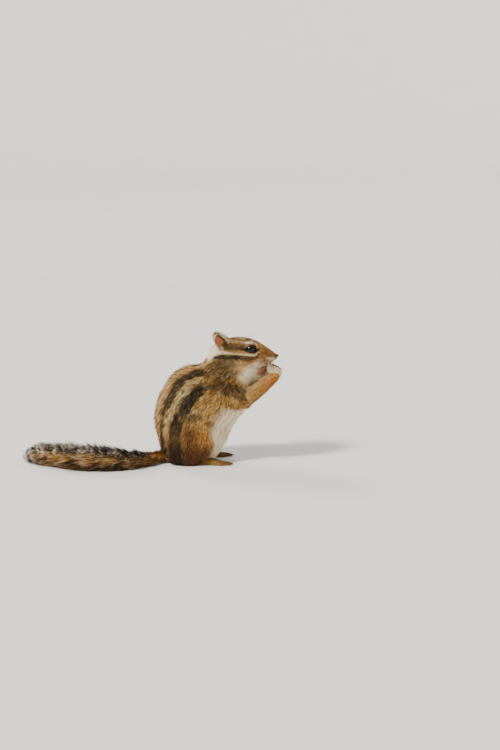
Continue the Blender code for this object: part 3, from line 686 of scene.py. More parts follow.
@dataclass
class Markings:
    """The colours of the coat at any place, from named bands and patches."""

    trunk: TrunkMap = field(default_factory=TrunkMap)
    stations: tuple[float, ...] = (0.0, 1.0, 2.5, 3.1, 3.8, 4.5, 5.2, 6.0, 7.0, 8.6)
    edges: tuple[tuple[float, ...], ...] = (
        (3, 6, 30, 34, 54, 55, 55, 56, 76), (4, 7, 30, 34, 54, 55, 56, 57, 76),
        (4.5, 8, 30, 34, 54, 56, 57.5, 58, 77), (5, 8.5, 30, 34, 53, 55, 59, 60, 77),
        (5.5, 9, 31, 34, 48.5, 50, 58, 59, 77), (5.5, 9, 31, 34, 44, 45.5, 55.5, 57, 77),
        (5.5, 9, 31, 34, 45.5, 47, 57, 58.5, 79), (5.5, 9, 31, 34, 48, 49.5, 60, 61.5, 81),
        (5.5, 8.5, 30, 33, 48, 49.5, 61, 63, 81), (5, 8, 29, 32, 50, 52, 62, 65, 82))
    trunk_patches: tuple[Union[Stroke, Blotch], ...] = (
        Blotch(Mark.GREY, (20.0, 71.0), (11.0, 8.0), 0, 0.35, 0.75),
        Blotch(Mark.RUST, (25.0, 60.0), (11.0, 5.5), -20, 0.4, 0.45),
        Blotch(Mark.BROWN, (22.0, 61.0), (12.5, 7.0), -20, 0.4, 0.85),
        Stroke(Mark.DARK, ((9.0, 59.5, 2.2), (16.0, 61.0, 2.4), (22.0, 63.0, 1.4)), 1.4, 0.75),
        Blotch(Mark.GREY, (-5.0, 38.4), (7.5, 3.6), 8, 0.5, 0.75),
        Blotch(Mark.DARK, (-6.5, 39.0), (7.0, 2.8), 8, 0.6, 0.6),
        Blotch(Mark.RUST, (9.0, 34.0), (3.6, 2.6), 0, 0.5, 0.6),
    )
    head_strokes: tuple[Stroke, ...] = (
        Stroke(Mark.DARK, ((23.0, 92.6, 0.5), (29.0, 91.4, 0.55), (34.0, 91.2, 0.5), (38.6, 91.3, 0.4)), 0.5, 0.75),
        Stroke(Mark.BROWN, ((18.6, 88.0, 2.8), (26.0, 87.9, 2.4), (32.0, 87.2, 1.9), (37.0, 85.8, 1.3)), 0.7, 1.0),
        Stroke(Mark.TAN, ((20.6, 93.2, 0.4), (24.7, 90.9, 0.6), (28.6, 90.6, 0.55), (33.0, 90.0, 0.5)), 0.45, 0.85),
        Stroke(Mark.CREAM, ((31.0, 90.0, -0.3), (34.8, 89.8, 0.4), (37.4, 90.0, 0.5), (40.6, 89.3, 0.45),
                            (42.7, 87.2, 0.35), (43.6, 85.4, 0.2)), 0.32),
        Stroke(Mark.FLAME, ((23.0, 88.9, 0.1), (28.0, 88.9, 0.35), (33.0, 88.4, 0.2)), 0.5, 0.5),
        Stroke(Mark.DARK, ((18.8, 87.4, 1.9), (24.0, 86.8, 1.6), (29.0, 86.5, 1.2), (33.0, 86.0, 0.9)), 0.8, 0.8),
        Stroke(Mark.DARK, ((28.0, 86.2, 0.4), (32.6, 86.0, 0.9), (36.4, 85.4, 1.9), (42.4, 84.6, 0.9),
                           (45.2, 84.8, 0.45)), 0.6),
        Stroke(Mark.CREAM, ((16.2, 83.6, 0.7), (21.6, 83.3, 0.35), (28.0, 82.9, 0.3), (34.2, 82.1, 0.4),
                            (38.4, 81.4, 0.8), (41.9, 81.5, 0.65), (43.9, 83.2, 0.35)), 0.38),
        Stroke(Mark.DARK, ((12.6, 80.2, 1.2), (18.0, 80.5, 1.7), (24.0, 80.4, 1.8), (30.0, 80.0, 1.8),
                           (35.0, 79.4, 1.5)), 0.6, 0.95),
        Stroke(Mark.BROWN, ((33.0, 79.2, 1.6), (38.0, 78.9, 1.5), (42.0, 79.4, 1.0), (44.4, 81.4, 0.6)), 0.6, 1.0),
        Stroke(Mark.DARK, ((33.6, 79.2, 1.2), (38.0, 79.0, 1.1), (41.6, 79.5, 0.6)), 0.5, 0.7),
        Stroke(Mark.TAN, ((28.0, 76.4, 0.6), (34.0, 75.6, 0.9), (40.0, 75.8, 0.9)), 0.9, 0.7),
        Stroke(Mark.FLAME, ((30.0, 76.6, 0.5), (36.0, 76.2, 0.6), (41.0, 76.7, 0.7), (44.6, 79.2, 0.6)), 0.7, 0.6),
        Stroke(Mark.BROWN, ((43.2, 71.2, 0.25), (47.0, 71.9, 0.35), (50.6, 72.8, 0.45)), 0.3, 0.9),
        Stroke(Mark.DARK, ((46.6, 78.8, 0.3), (49.0, 78.2, 0.35)), 0.4, 0.7),
        Stroke(Mark.DARK, ((47.4, 77.0, 0.3), (50.4, 76.8, 0.35)), 0.4, 0.6),
        Stroke(Mark.BROWN, ((43.6, 90.4, 0.7), (48.0, 87.9, 0.6), (53.0, 84.2, 0.5)), 0.8, 0.5),
        Stroke(Mark.BROWN, ((47.0, 82.4, 0.7), (50.4, 80.9, 0.9), (53.4, 79.2, 0.5)), 0.7, 0.6),
    )
    head_patches: tuple[Blotch, ...] = (
        # The crown's tan is laid strong and a faint cream streak is laid over it: partly the crown's own tan, partly
        # painted rim light along the top of the head.
        Blotch(Mark.TAN, (33.0, 93.4), (12.0, 3.4), -4, 0.4, 0.95),
        Blotch(Mark.CREAM, (34.0, 94.0), (9.0, 2.2), -4, 0.5, 0.3),
        Blotch(Mark.FLAME, (47.0, 82.5), (6.5, 5.0), -30, 0.4, 0.75),
        Blotch(Mark.TAN, (50.5, 86.6), (7.5, 2.4), -38, 0.5, 0.6),
        Blotch(Mark.RUST, (52.0, 80.6), (3.6, 2.2), -30, 0.5, 0.6),
        Blotch(Mark.GREY, (22.0, 73.0), (10.0, 8.5), 0, 0.35, 0.8),
        Blotch(Mark.DARK, (17.0, 74.6), (8.0, 5.6), 0, 0.6, 0.68),
        Blotch(Mark.TAN, (32.6, 72.6), (4.2, 2.8), 10, 0.6, 0.45),
        Blotch(Mark.DARK, (49.3, 83.2), (1.6, 1.1), -35, 0.5, 0.4),
        Blotch(Mark.CREAM, (45.5, 74.6), (6.5, 3.4), 12, 0.4, 0.85),
        Blotch(Mark.CREAM, (38.7, 67.6), (5.4, 6.0), 20, 0.5, 0.9),
        Blotch(Mark.CREAM, (53.0, 76.2), (5.0, 2.4), -10, 0.4, 0.85),
        Blotch(Mark.FLAME, (48.6, 76.4), (5.2, 2.3), -10, 0.6, 0.45),
        Blotch(Mark.CREAM, (10.8, 84.2), (3.8, 6.2), -16, 0.3, 1.0),
        Blotch(Mark.CREAM, (16.0, 85.2), (2.2, 3.6), 20, 0.35, 0.85),
        Blotch(Mark.PINK, (46.0, 68.6), (3.2, 2.2), 20, 0.4, 0.8),
        Blotch(Mark.BROWN, (57.2, 80.2), (1.6, 2.0), 0, 0.4, 0.7),
    )
    ear_laid_back: tuple[float, float] = (-1.6, -2.6)
    ear_half_widths: tuple[float, ...] = (4.2, 4.9, 5.1, 4.8, 4.1, 2.4)
    ear_axis: tuple[Point, Point] = ((19.4, 10.6, 86.6), (11.4, 14.4, 96.4))

    def noise_shift(self, places: Array, amount: float) -> Array:
        """Moves places a little, so that edges wander as they do in hair."""
        moved = [value_noise(places, 2.6, seed) for seed in (11, 12, 13)]
        return places + np.stack(moved, axis=1) * amount

    def trunk_marks(self, places: Array, laid: dict[Mark, Array]) -> None:
        """Lays the stripes of the back, the belly, the haunch and the shoulder."""
        along, turn = self.trunk.read(places)
        x, y, z = places.T
        edge = [np.interp(along, self.stations, column) for column in zip(*self.edges)]
        high = smooth_step(9.7, 8.8, along)
        mid = smooth_step(8.6, 7.8, along)
        soft = 2.4

        def band(first: Array, last: Array) -> Array:
            return smooth_step(-soft, soft, turn - first) * smooth_step(soft, -soft, turn - last)

        rusty = smooth_step(4.8, 3.0, along)
        laid[Mark.DARK] = np.maximum.reduce([
            smooth_step(soft, -soft, turn - edge[0]) * high * 0.95, band(edge[3], edge[4]) * high * 0.92,
            band(edge[7], edge[8]) * mid * (0.95 - 0.15 * rusty)])
        light = band(edge[1], edge[2]) * high
        laid[Mark.TAN] = light * (1.0 - 0.6 * rusty)
        laid[Mark.FLAME] = light * np.maximum(rusty * 0.7, smooth_step(20.0, 31.0, turn) * 0.6)
        laid[Mark.PALE] = band(edge[5], edge[6]) * mid * (0.95 - 0.7 * rusty)
        haunch = smooth_step(35.0, 26.0, z + 0.2 * x) * smooth_step(-6.0, 12.0, turn - edge[8])
        laid[Mark.RUST] = haunch * (0.3 + 0.5 * smooth_step(114.0, 94.0, turn))
        rear = smooth_step(3.6, 2.4, along) * smooth_step(38.0, 50.0, turn)
        laid[Mark.BROWN] = np.maximum.reduce([
            haunch * smooth_step(15.0, 4.0, z) * 0.7, haunch * smooth_step(106.0, 78.0, turn) * 0.8, rear * 0.85,
            light * 0.2])
        laid[Mark.FLAME] = np.maximum(laid[Mark.FLAME], haunch * smooth_step(96.0, 110.0, turn) * 0.4)
        belly = smooth_step(112.0, 133.0, turn) * smooth_step(10.6, 9.6, along)
        inner = smooth_step(7.0, 11.6, x) * smooth_step(34.0, 28.0, z)
        laid[Mark.CREAM] = np.maximum(belly, inner)
        for mark in (Mark.RUST, Mark.BROWN, Mark.FLAME):
            laid[mark] *= 1.0 - laid[Mark.CREAM]
        for patch in self.trunk_patches:
            self.cover(laid, patch.mark, patch.laid(places))

    def lay(self, places: Array, limb: Array, normals: Array) -> dict[str, Array]:
        """Works out every mark.

        Args:
            places: Rows of places.
            limb: For each place, the part of the body that it is on, as a Part's number.
            normals: The skin's normals there.

        Returns:
            How much of each colour is laid, by attribute name.
        """
        places = self.noise_shift(places, 0.45)
        laid = {mark: np.zeros(len(places)) for mark in Mark}
        self.trunk_marks(places, laid)
        head = np.isin(limb, (Part.HEAD.value, Part.EAR.value))
        blend = smooth_step(-2.0, 4.0, (places[:, 0] - 9.0) + (places[:, 2] - 78.0) * 0.5)
        blend = np.where(head, 1.0, np.where(limb == Part.NECK.value, blend * 0.6, 0.0))
        for mark in Mark:
            laid[mark] = laid[mark] * (1.0 - blend)
        laid[Mark.BROWN] = np.maximum(laid[Mark.BROWN], blend * smooth_step(86.0, 90.0, places[:, 2]) * 0.55)
        under = np.isin(limb, (Part.HEAD.value, Part.NECK.value)) * smooth_step(-0.1, 0.5, -normals[:, 2])
        self.cover(laid, Mark.CREAM, under * smooth_step(77.0, 73.0, places[:, 2]) * 0.9)
        for patch in (*self.head_patches, *self.head_strokes):
            reach = np.where(head, 1.0, np.where(limb == Part.NECK.value, 1.0, 0.0))
            self.cover(laid, patch.mark, patch.laid(places) * reach)
        nape = np.isin(limb, (Part.HEAD.value, Part.NECK.value)) * smooth_step(20.0, 14.0, places[:, 0])
        self.cover(laid, Mark.BROWN, nape * smooth_step(2.4, 1.0, np.abs(places[:, 1])) * smooth_step(76.0, 80.0, places[:, 2]) * 0.75)
        self.limb_marks(places, limb, normals, laid)
        self.ear_marks(places, limb, normals, laid)
        return {mark.field: np.clip(values, 0.0, 1.0) for mark, values in laid.items()}

    def cover(self, laid: dict[Mark, Array], mark: Mark, amount: Array) -> None:
        """Lays a colour so that it shows over those that were laid before it."""
        for other in Mark:
            if other is mark:
                laid[other] = np.maximum(laid[other], amount)
            else:
                laid[other] = laid[other] * (1.0 - amount)

    def limb_marks(self, places: Array, limb: Array, normals: Array, laid: dict[Mark, Array]) -> None:
        """Lays the colours of the legs, paws and feet, with painted light and shade on the forearm and painted shade
        over the hind toes.
        """
        x, y, z = places.T
        inward = smooth_step(0.1, 0.7, -normals[:, 1] * np.sign(y))
        upper, arm = limb == Part.UPPER_FORELEG.value, limb == Part.FOREARM.value
        outer = np.clip(arm + upper * (1.0 - inward), 0.0, 1.0)
        laid[Mark.CREAM] = laid[Mark.CREAM] * (1.0 - outer)
        self.cover(laid, Mark.BROWN, upper * (1.0 - inward) * smooth_step(9.0, 4.0, np.hypot(x - 31.0, z - 53.0)) * 0.7)
        self.cover(laid, Mark.DARK, upper * smooth_step(5.5, 2.0, np.hypot((x - 30.5) * 1.4, z - 54.0)) * 0.5)
        self.cover(laid, Mark.FLAME, arm * smooth_step(34.0, 54.0, x - 0.4 * (z - 58.0)) * 0.85)
        # Painted light: the forearm's up-facing side is paled with cream, and its down-facing side is darkened with
        # rust as painted shade.
        self.cover(laid, Mark.CREAM, arm * smooth_step(0.4, 0.9, normals[:, 2]) * 0.15)
        self.cover(laid, Mark.RUST, arm * smooth_step(0.2, 0.8, -normals[:, 2]) * 0.25)
        self.cover(laid, Mark.CREAM, arm * inward * 0.8)
        paw, foot = limb == Part.FOREPAW.value, limb == Part.HIND_FOOT.value
        for mark in Mark:
            laid[mark] = laid[mark] * (1.0 - np.maximum(paw, foot))
        self.cover(laid, Mark.CREAM, paw * smooth_step(63.0, 66.5, z) * 0.8)
        self.cover(laid, Mark.FLAME, paw * smooth_step(66.5, 63.0, z) * 0.7)
        self.cover(laid, Mark.GREY, paw * smooth_step(67.0, 72.0, z) * 0.4)
        self.cover(laid, Mark.PINK, paw * inward * 0.7)
        # The hind foot is laid brown, deeper towards the toes: partly the foot's own brown, partly painted shade over
        # the toes.
        self.cover(laid, Mark.BROWN, foot * (0.5 + 0.3 * smooth_step(12.0, 20.0, x)))
        self.cover(laid, Mark.PINK, foot * smooth_step(0.9, 0.3, z) * 0.8)

    def ear_marks(self, places: Array, limb: Array, normals: Array, laid: dict[Mark, Array]) -> None:
        """Lays the ear's orange inside, grey-brown back and cream rim, and darkens the root of the inside as painted
        shade.
        """
        ear, sign = limb == Part.EAR.value, np.sign(places[:, 1:2])
        base, tip = (np.array(p) * np.concatenate([sign * 0 + 1, sign, sign * 0 + 1], axis=1) for p in self.ear_axis)
        back = np.where(sign > 0, 1.0, 0.0)
        tip = tip + np.concatenate([back * self.ear_laid_back[0], back * 0, back * self.ear_laid_back[1]], axis=1)
        along = unit(tip - base)
        outward = np.concatenate([sign * 0 + 0.6, sign, sign * 0 + 0.2], axis=1)
        outward = unit(outward - along * (outward * along).sum(axis=1, keepdims=True))
        forward = np.cross(along, outward) * -sign
        off = places - base
        level = ((off * along).sum(axis=1) / np.linalg.norm(tip - base, axis=1) + 0.3) / 1.3
        half = np.interp(level * (len(self.ear_half_widths) - 1), np.arange(len(self.ear_half_widths)), self.ear_half_widths)
        across = (off * forward).sum(axis=1) / half
        ear = ear * smooth_step(85.0, 87.4, places[:, 2])
        inside = ear * smooth_step(-0.1, 0.3, (normals * outward).sum(axis=1))
        edge = np.minimum((0.95 - np.abs(across)) * half, (0.97 - level) * np.linalg.norm(tip - base, axis=1))
        for mark in Mark:
            laid[mark] = laid[mark] * (1.0 - ear)
        self.cover(laid, Mark.BROWN, ear * 0.9)
        patch = inside * smooth_step(0.66, 0.34, across) * smooth_step(0.42, 0.54, level)
        self.cover(laid, Mark.FLAME, patch * 0.85)
        self.cover(laid, Mark.PINK, patch * 0.42)
        laid[Mark.RUST] = np.maximum(laid[Mark.RUST], patch * 0.25)
        # Painted shade: the root of the ear's inside is darkened to deepen its cup.
        self.cover(laid, Mark.DARK, inside * smooth_step(0.58, 0.34, level) * smooth_step(-0.2, 0.3, across) * 0.85)
        self.cover(laid, Mark.CREAM, ear * smooth_step(0.50, 0.38, level) * smooth_step(0.0, -0.3, across) * 0.9)
        rim = smooth_step(1.0, 0.45, edge + 0.35 * smooth_step(0.0, 0.5, across))
        self.cover(laid, Mark.CREAM, ear * rim * smooth_step(0.15, 0.35, level) * 0.95)


class Part(Enum):
    """The parts of the body that differ in coat, by number."""

    TORSO = 0
    NECK = 1
    HEAD = 2
    EAR = 3
    UPPER_FORELEG = 4
    FOREARM = 5
    FOREPAW = 6
    HAUNCH = 7
    HIND_FOOT = 8
    TAIL = 9

    @property
    def nodes(self) -> tuple[str, ...]:
        """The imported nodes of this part, without the tail's."""
        word = self.name.lower()
        if self in (Part.TORSO, Part.NECK, Part.HEAD):
            return (word,)
        if self is Part.TAIL:
            return ()
        return tuple(word + "_" + side.word for side in Side)


TAIL_NODES = tuple(f"tail_{i}" for i in range(1, 5))


@dataclass(frozen=True)
class Pelt:
    """What the coat is like on one part.

    Attributes:
        depth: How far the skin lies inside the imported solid.
        length: How long a hair is.
        width: How wide it is at its widest.
        rise: How far its tip stands off the skin.
        density: Hairs for each square millimetre.
        ticking: How much dark and pale hairs are mixed in.
    """

    depth: float
    length: float
    width: float
    rise: float
    density: float
    ticking: float

    def row(self) -> tuple[float, ...]:
        """The numbers in order."""
        return (self.depth, self.length, self.width, self.rise, self.density, self.ticking)


PELTS: dict[Part, Pelt] = {
    Part.TORSO: Pelt(1.0, 5.2, 0.34, 1.05, 7.0, 0.9),
    Part.NECK: Pelt(0.9, 4.4, 0.32, 1.0, 7.5, 0.85),
    Part.HEAD: Pelt(0.45, 2.3, 0.22, 0.45, 13.0, 0.85),
    Part.EAR: Pelt(0.12, 1.3, 0.16, 0.25, 16.0, 0.1),
    Part.UPPER_FORELEG: Pelt(0.8, 3.8, 0.28, 0.9, 8.0, 0.85),
    Part.FOREARM: Pelt(0.6, 3.1, 0.24, 0.8, 10.0, 0.65),
    Part.FOREPAW: Pelt(0.1, 1.0, 0.15, 0.14, 15.0, 0.15),
    Part.HAUNCH: Pelt(0.95, 4.4, 0.32, 0.95, 7.5, 0.5),
    Part.HIND_FOOT: Pelt(0.15, 1.3, 0.17, 0.16, 14.0, 0.3),
    Part.TAIL: Pelt(0.0, 3.0, 0.26, 0.6, 2.0, 0.4),
}


@dataclass
class TailPath:
    """The middle of the tail, read by its share of the way from root to tip."""

    sections: tuple[tuple[float, ...], ...] = (
        (-19, 0, 5.6, 4.2, 5.6), (-27, -6.5, 5.2, 3.8, 5.2), (-34.5, -14.5, 4.8, 3.4, 4.9), (-43, -23, 5.3, 3.4, 5.8),
        (-54, -30.5, 6.6, 3.7, 7.6), (-66, -34.5, 7.8, 4, 9.2), (-79, -34.5, 8.4, 4.1, 9.9), (-92, -30, 8.4, 3.8, 9.8),
        (-104, -22.5, 7.8, 3, 9), (-114, -15, 6.8, 2.2, 7.4), (-122, -9, 5.6, 1.4, 4.6), (-128, -5, 4.8, 0.9, 1.6))
    core_share: float = 0.8
    core_end: float = 0.93

    def __post_init__(self) -> None:
        """Reads the path once, finely."""
        self.rows = smooth_rows(self.sections, 16)
        steps = np.linalg.norm(np.diff(self.rows[:, :3], axis=0), axis=1)
        self.length = float(steps.sum())
        self.shares = np.concatenate([[0.0], np.cumsum(steps)]) / self.length

    def read(self, share: Array) -> tuple[Array, Array, Array, Array]:
        """The tail's middle, way, core radius and reach at each share."""
        def at(value: Array) -> Array:
            return np.stack([np.interp(value, self.shares, column) for column in self.rows.T], axis=-1)

        held = np.clip(share, 0.0, 1.0)
        row = at(held)
        way = unit(at(np.minimum(held + 0.01, 1.0))[..., :3] - at(np.maximum(held - 0.01, 0.0))[..., :3])
        middle = row[..., :3] + way * ((share - held) * self.length)[..., None]
        return middle, way, row[..., 3], row[..., 4]

    def around(self, share: Array, turn: Array, radius: Array) -> Array:
        """A place round the tail, pressed flat where it would go under the floor."""
        middle, way, _, reach = self.read(share)
        across = unit(np.cross(way, (0.0, 0.0, 1.0)))
        lift = np.cross(across, way)
        height = np.sin(turn) * radius
        pressed = np.minimum(1.0, (middle[..., 2] - 0.4) / np.maximum(reach, 0.1))
        height = np.where(height < 0, height * pressed, height)
        return middle + across * (np.cos(turn) * radius)[..., None] + lift * height[..., None]

    def core(self) -> tuple[Array, Array]:
        """The skin of the tail as a closed tube: its points and triangles."""
        sides, rings = 24, 90
        share, turn = np.meshgrid(np.linspace(0.0, self.core_end, rings), np.arange(sides) * 2 * np.pi / sides, indexing="ij")
        radius = self.read(share)[2] * self.core_share
        return closed_tube(self.around(share, turn, radius))


def closed_tube(rings: Array) -> tuple[Array, Array]:
    """A tube through rings of points, closed at both ends: its points and triangles."""
    count, sides = rings.shape[:2]
    faces = tube_faces(count, sides)
    first, last, end = count * sides, count * sides + 1, (count - 1) * sides
    for j in range(sides):
        after = (j + 1) % sides
        faces.append((first, after, j))
        faces.append((last, end + j, end + after))
    return np.vstack([rings.reshape(-1, 3), rings[0].mean(axis=0), rings[-1].mean(axis=0)]), np.array(faces)


def tube_faces(rings: int, sides: int) -> list[tuple[int, int, int]]:
    """Triangles of an open tube of rings of points."""
    faces = []
    for i, j in itertools.product(range(rings - 1), range(sides)):
        a, b = i * sides + j, i * sides + (j + 1) % sides
        c, d = b + sides, a + sides
        faces += [(a, b, c), (a, c, d)]
    return faces


@dataclass
class Hand:
    """The forepaw: a palm with its thumb pad for the skin, and four bare bent digits with claws."""

    side: Side
    wrist: Point = (55.2, 6.9, 64.2)
    palm_tip: Point = (56.6, 5.0, 68.4)
    palm_sizes: tuple[tuple[float, float], ...] = ((2.7, 2.2), (3.8, 2.1), (3.9, 1.8), (3.1, 1.3))
    pad_shift: Point = (-4.9, 1.0, 1.6)
    pad_radii: Point = (2.4, 1.65, 4.4)
    down_count: int = 260
    digit_length: float = 4.6
    digit_spread: float = 3.3
    digit_radii: tuple[float, ...] = (1.0, 0.98, 1.04, 0.86, 0.9, 0.5, 0.1)

    def __post_init__(self) -> None:
        """Works out the ways of the hand."""
        self.flip = np.array([1.0, self.side.value, 1.0])
        self.tip = np.array(self.palm_tip) * self.flip
        self.start = np.array(self.wrist) * self.flip
        self.along = unit(self.tip - self.start)
        self.inward = unit(np.array([-0.2, -self.side.value, 0.0]))
        self.spread_way = unit(np.cross(self.along, self.inward))
        self.curl = np.array([-0.75, -self.side.value * 0.35, 0.25])

    def palm(self) -> list[tuple[Array, Array]]:
        """The palm and the pad of the thumb, each closed, as points and triangles."""
        turns = np.arange(14) * 2 * np.pi / 14
        rows = smooth_rows(self.palm_sizes, 4)
        places = self.start + np.outer(np.linspace(-0.1, 1.0, len(rows)), self.tip - self.start)
        ring = rows[:, 0, None, None] * np.cos(turns)[None, :, None] * self.spread_way
        ring = ring + rows[:, 1, None, None] * np.sin(turns)[None, :, None] * self.inward
        polar, turn = np.meshgrid(np.linspace(0.05, np.pi - 0.05, 9), turns, indexing="ij")
        ball = np.stack([np.sin(polar) * np.cos(turn), np.sin(polar) * np.sin(turn), -np.cos(polar)], axis=-1)
        pad = ball * self.pad_radii + self.tip + np.array(self.pad_shift) * self.flip
        return [closed_tube(places[:, None] + ring), closed_tube(pad)]

    def joints(self, i: int) -> tuple[Array, Array, Array]:
        """The root, the middle joint and the tip of a digit."""
        spread = (i / 3 - 0.5) * 2
        root = self.tip + self.spread_way * spread * self.digit_spread - self.along * (0.9 + 0.5 * abs(spread))
        length = self.digit_length * (1.0 - 0.12 * abs(spread))
        middle = root + self.along * length * 0.55 + self.spread_way * spread * 0.35
        return root, middle, middle + unit(self.along * 0.45 + self.curl * 0.75) * length * 0.55

    def digit_rods(self) -> list[tuple[Array, Array]]:
        """The four digits as rings of points, with the share along of each ring."""
        rods = []
        for i in range(4):
            root, middle, end = self.joints(i)
            rows = smooth_rows([root - self.along * 1.6, root, middle, end], 5)
            way = unit(np.gradient(rows, axis=0))
            across = unit(np.cross(way, self.inward))
            shares = np.linspace(0.0, 1.0, len(rows))
            size = np.interp(shares, np.array([0.0, 0.25, 0.55, 0.72, 0.88, 0.97, 1.0]), self.digit_radii)
            turns = np.arange(12) * 2 * np.pi / 12
            ring = across[:, None] * np.cos(turns)[None, :, None] + np.cross(across, way)[:, None] * np.sin(turns)[None, :, None]
            rods.append((rows[:, None] + ring * size[:, None, None], shares))
        return rods

    def digits(self) -> bpy.types.Object:
        """Makes the four digits as one piece."""
        finish = GrainFinish("digit_skin", (0.78, 0.66, 0.52), (0.80, 0.61, 0.50), 0.55, 0.0004, 0.00012).build()
        return join_rods(self.digit_rods()).build("digits_" + self.side.word, finish, "paw")

    def down(self, skin: "Skin") -> bpy.types.Object:
        """Grows short pale hair over the backs of the digits."""
        draw = np.random.default_rng(self.down_count)
        roots, normals, ways = [], [], []
        for rings, shares in self.digit_rods():
            sides = rings.shape[1]
            row = draw.integers(3, len(rings) - 3, self.down_count)
            turn = draw.integers(0, sides, self.down_count)
            share = draw.random((2, self.down_count, 1))
            low = rings[row, turn] * (1 - share[0]) + rings[row, (turn + 1) % sides] * share[0]
            high = rings[row + 1, turn] * (1 - share[0]) + rings[row + 1, (turn + 1) % sides] * share[0]
            middles = rings.mean(axis=1)
            middle = middles[row] * (1 - share[1]) + middles[row + 1] * share[1]
            roots.append(low * (1 - share[1]) + high * share[1])
            normals.append(unit(roots[-1] - middle))
            ways.append(unit(middles[row + 1] - middles[row]))
        roots, normals, ways = np.vstack(roots), np.vstack(normals), np.vstack(ways)
        ways = unit(ways - normals * (ways * normals).sum(axis=1, keepdims=True))
        keep = np.flatnonzero(normals @ self.inward < 0.35)
        count = len(roots)
        numbers = {mark.field: np.zeros(count) for mark in Mark}
        numbers[Mark.CREAM.field] = np.full(count, 0.85)
        numbers |= {"chance": draw.random(count), "ticking": np.full(count, 0.25), "band": np.zeros(count)}
        length, width, rise = draw.uniform(0.6, 1.1, count), draw.uniform(0.08, 0.14, count), draw.uniform(0.08, 0.2, count)
        tufts = Tufts(roots, normals, ways, length, width, rise, skin.root_uv(roots, Part.FOREPAW), numbers)
        finish = CoatFinish("digit_hair", True).build()
        return tufts.mesh(draw, keep).build("digit_hair_" + self.side.word, finish, "paw")

    def claws(self) -> list[tuple[Array, Array]]:
        """The claws of the digits."""
        rods = []
        for i in range(4):
            _, middle, end = self.joints(i)
            way = unit(end - middle)
            rods.append(horn_rows(end - way * 0.1, way, unit(self.curl), 1.9, 0.42, 0.35))
        return rods


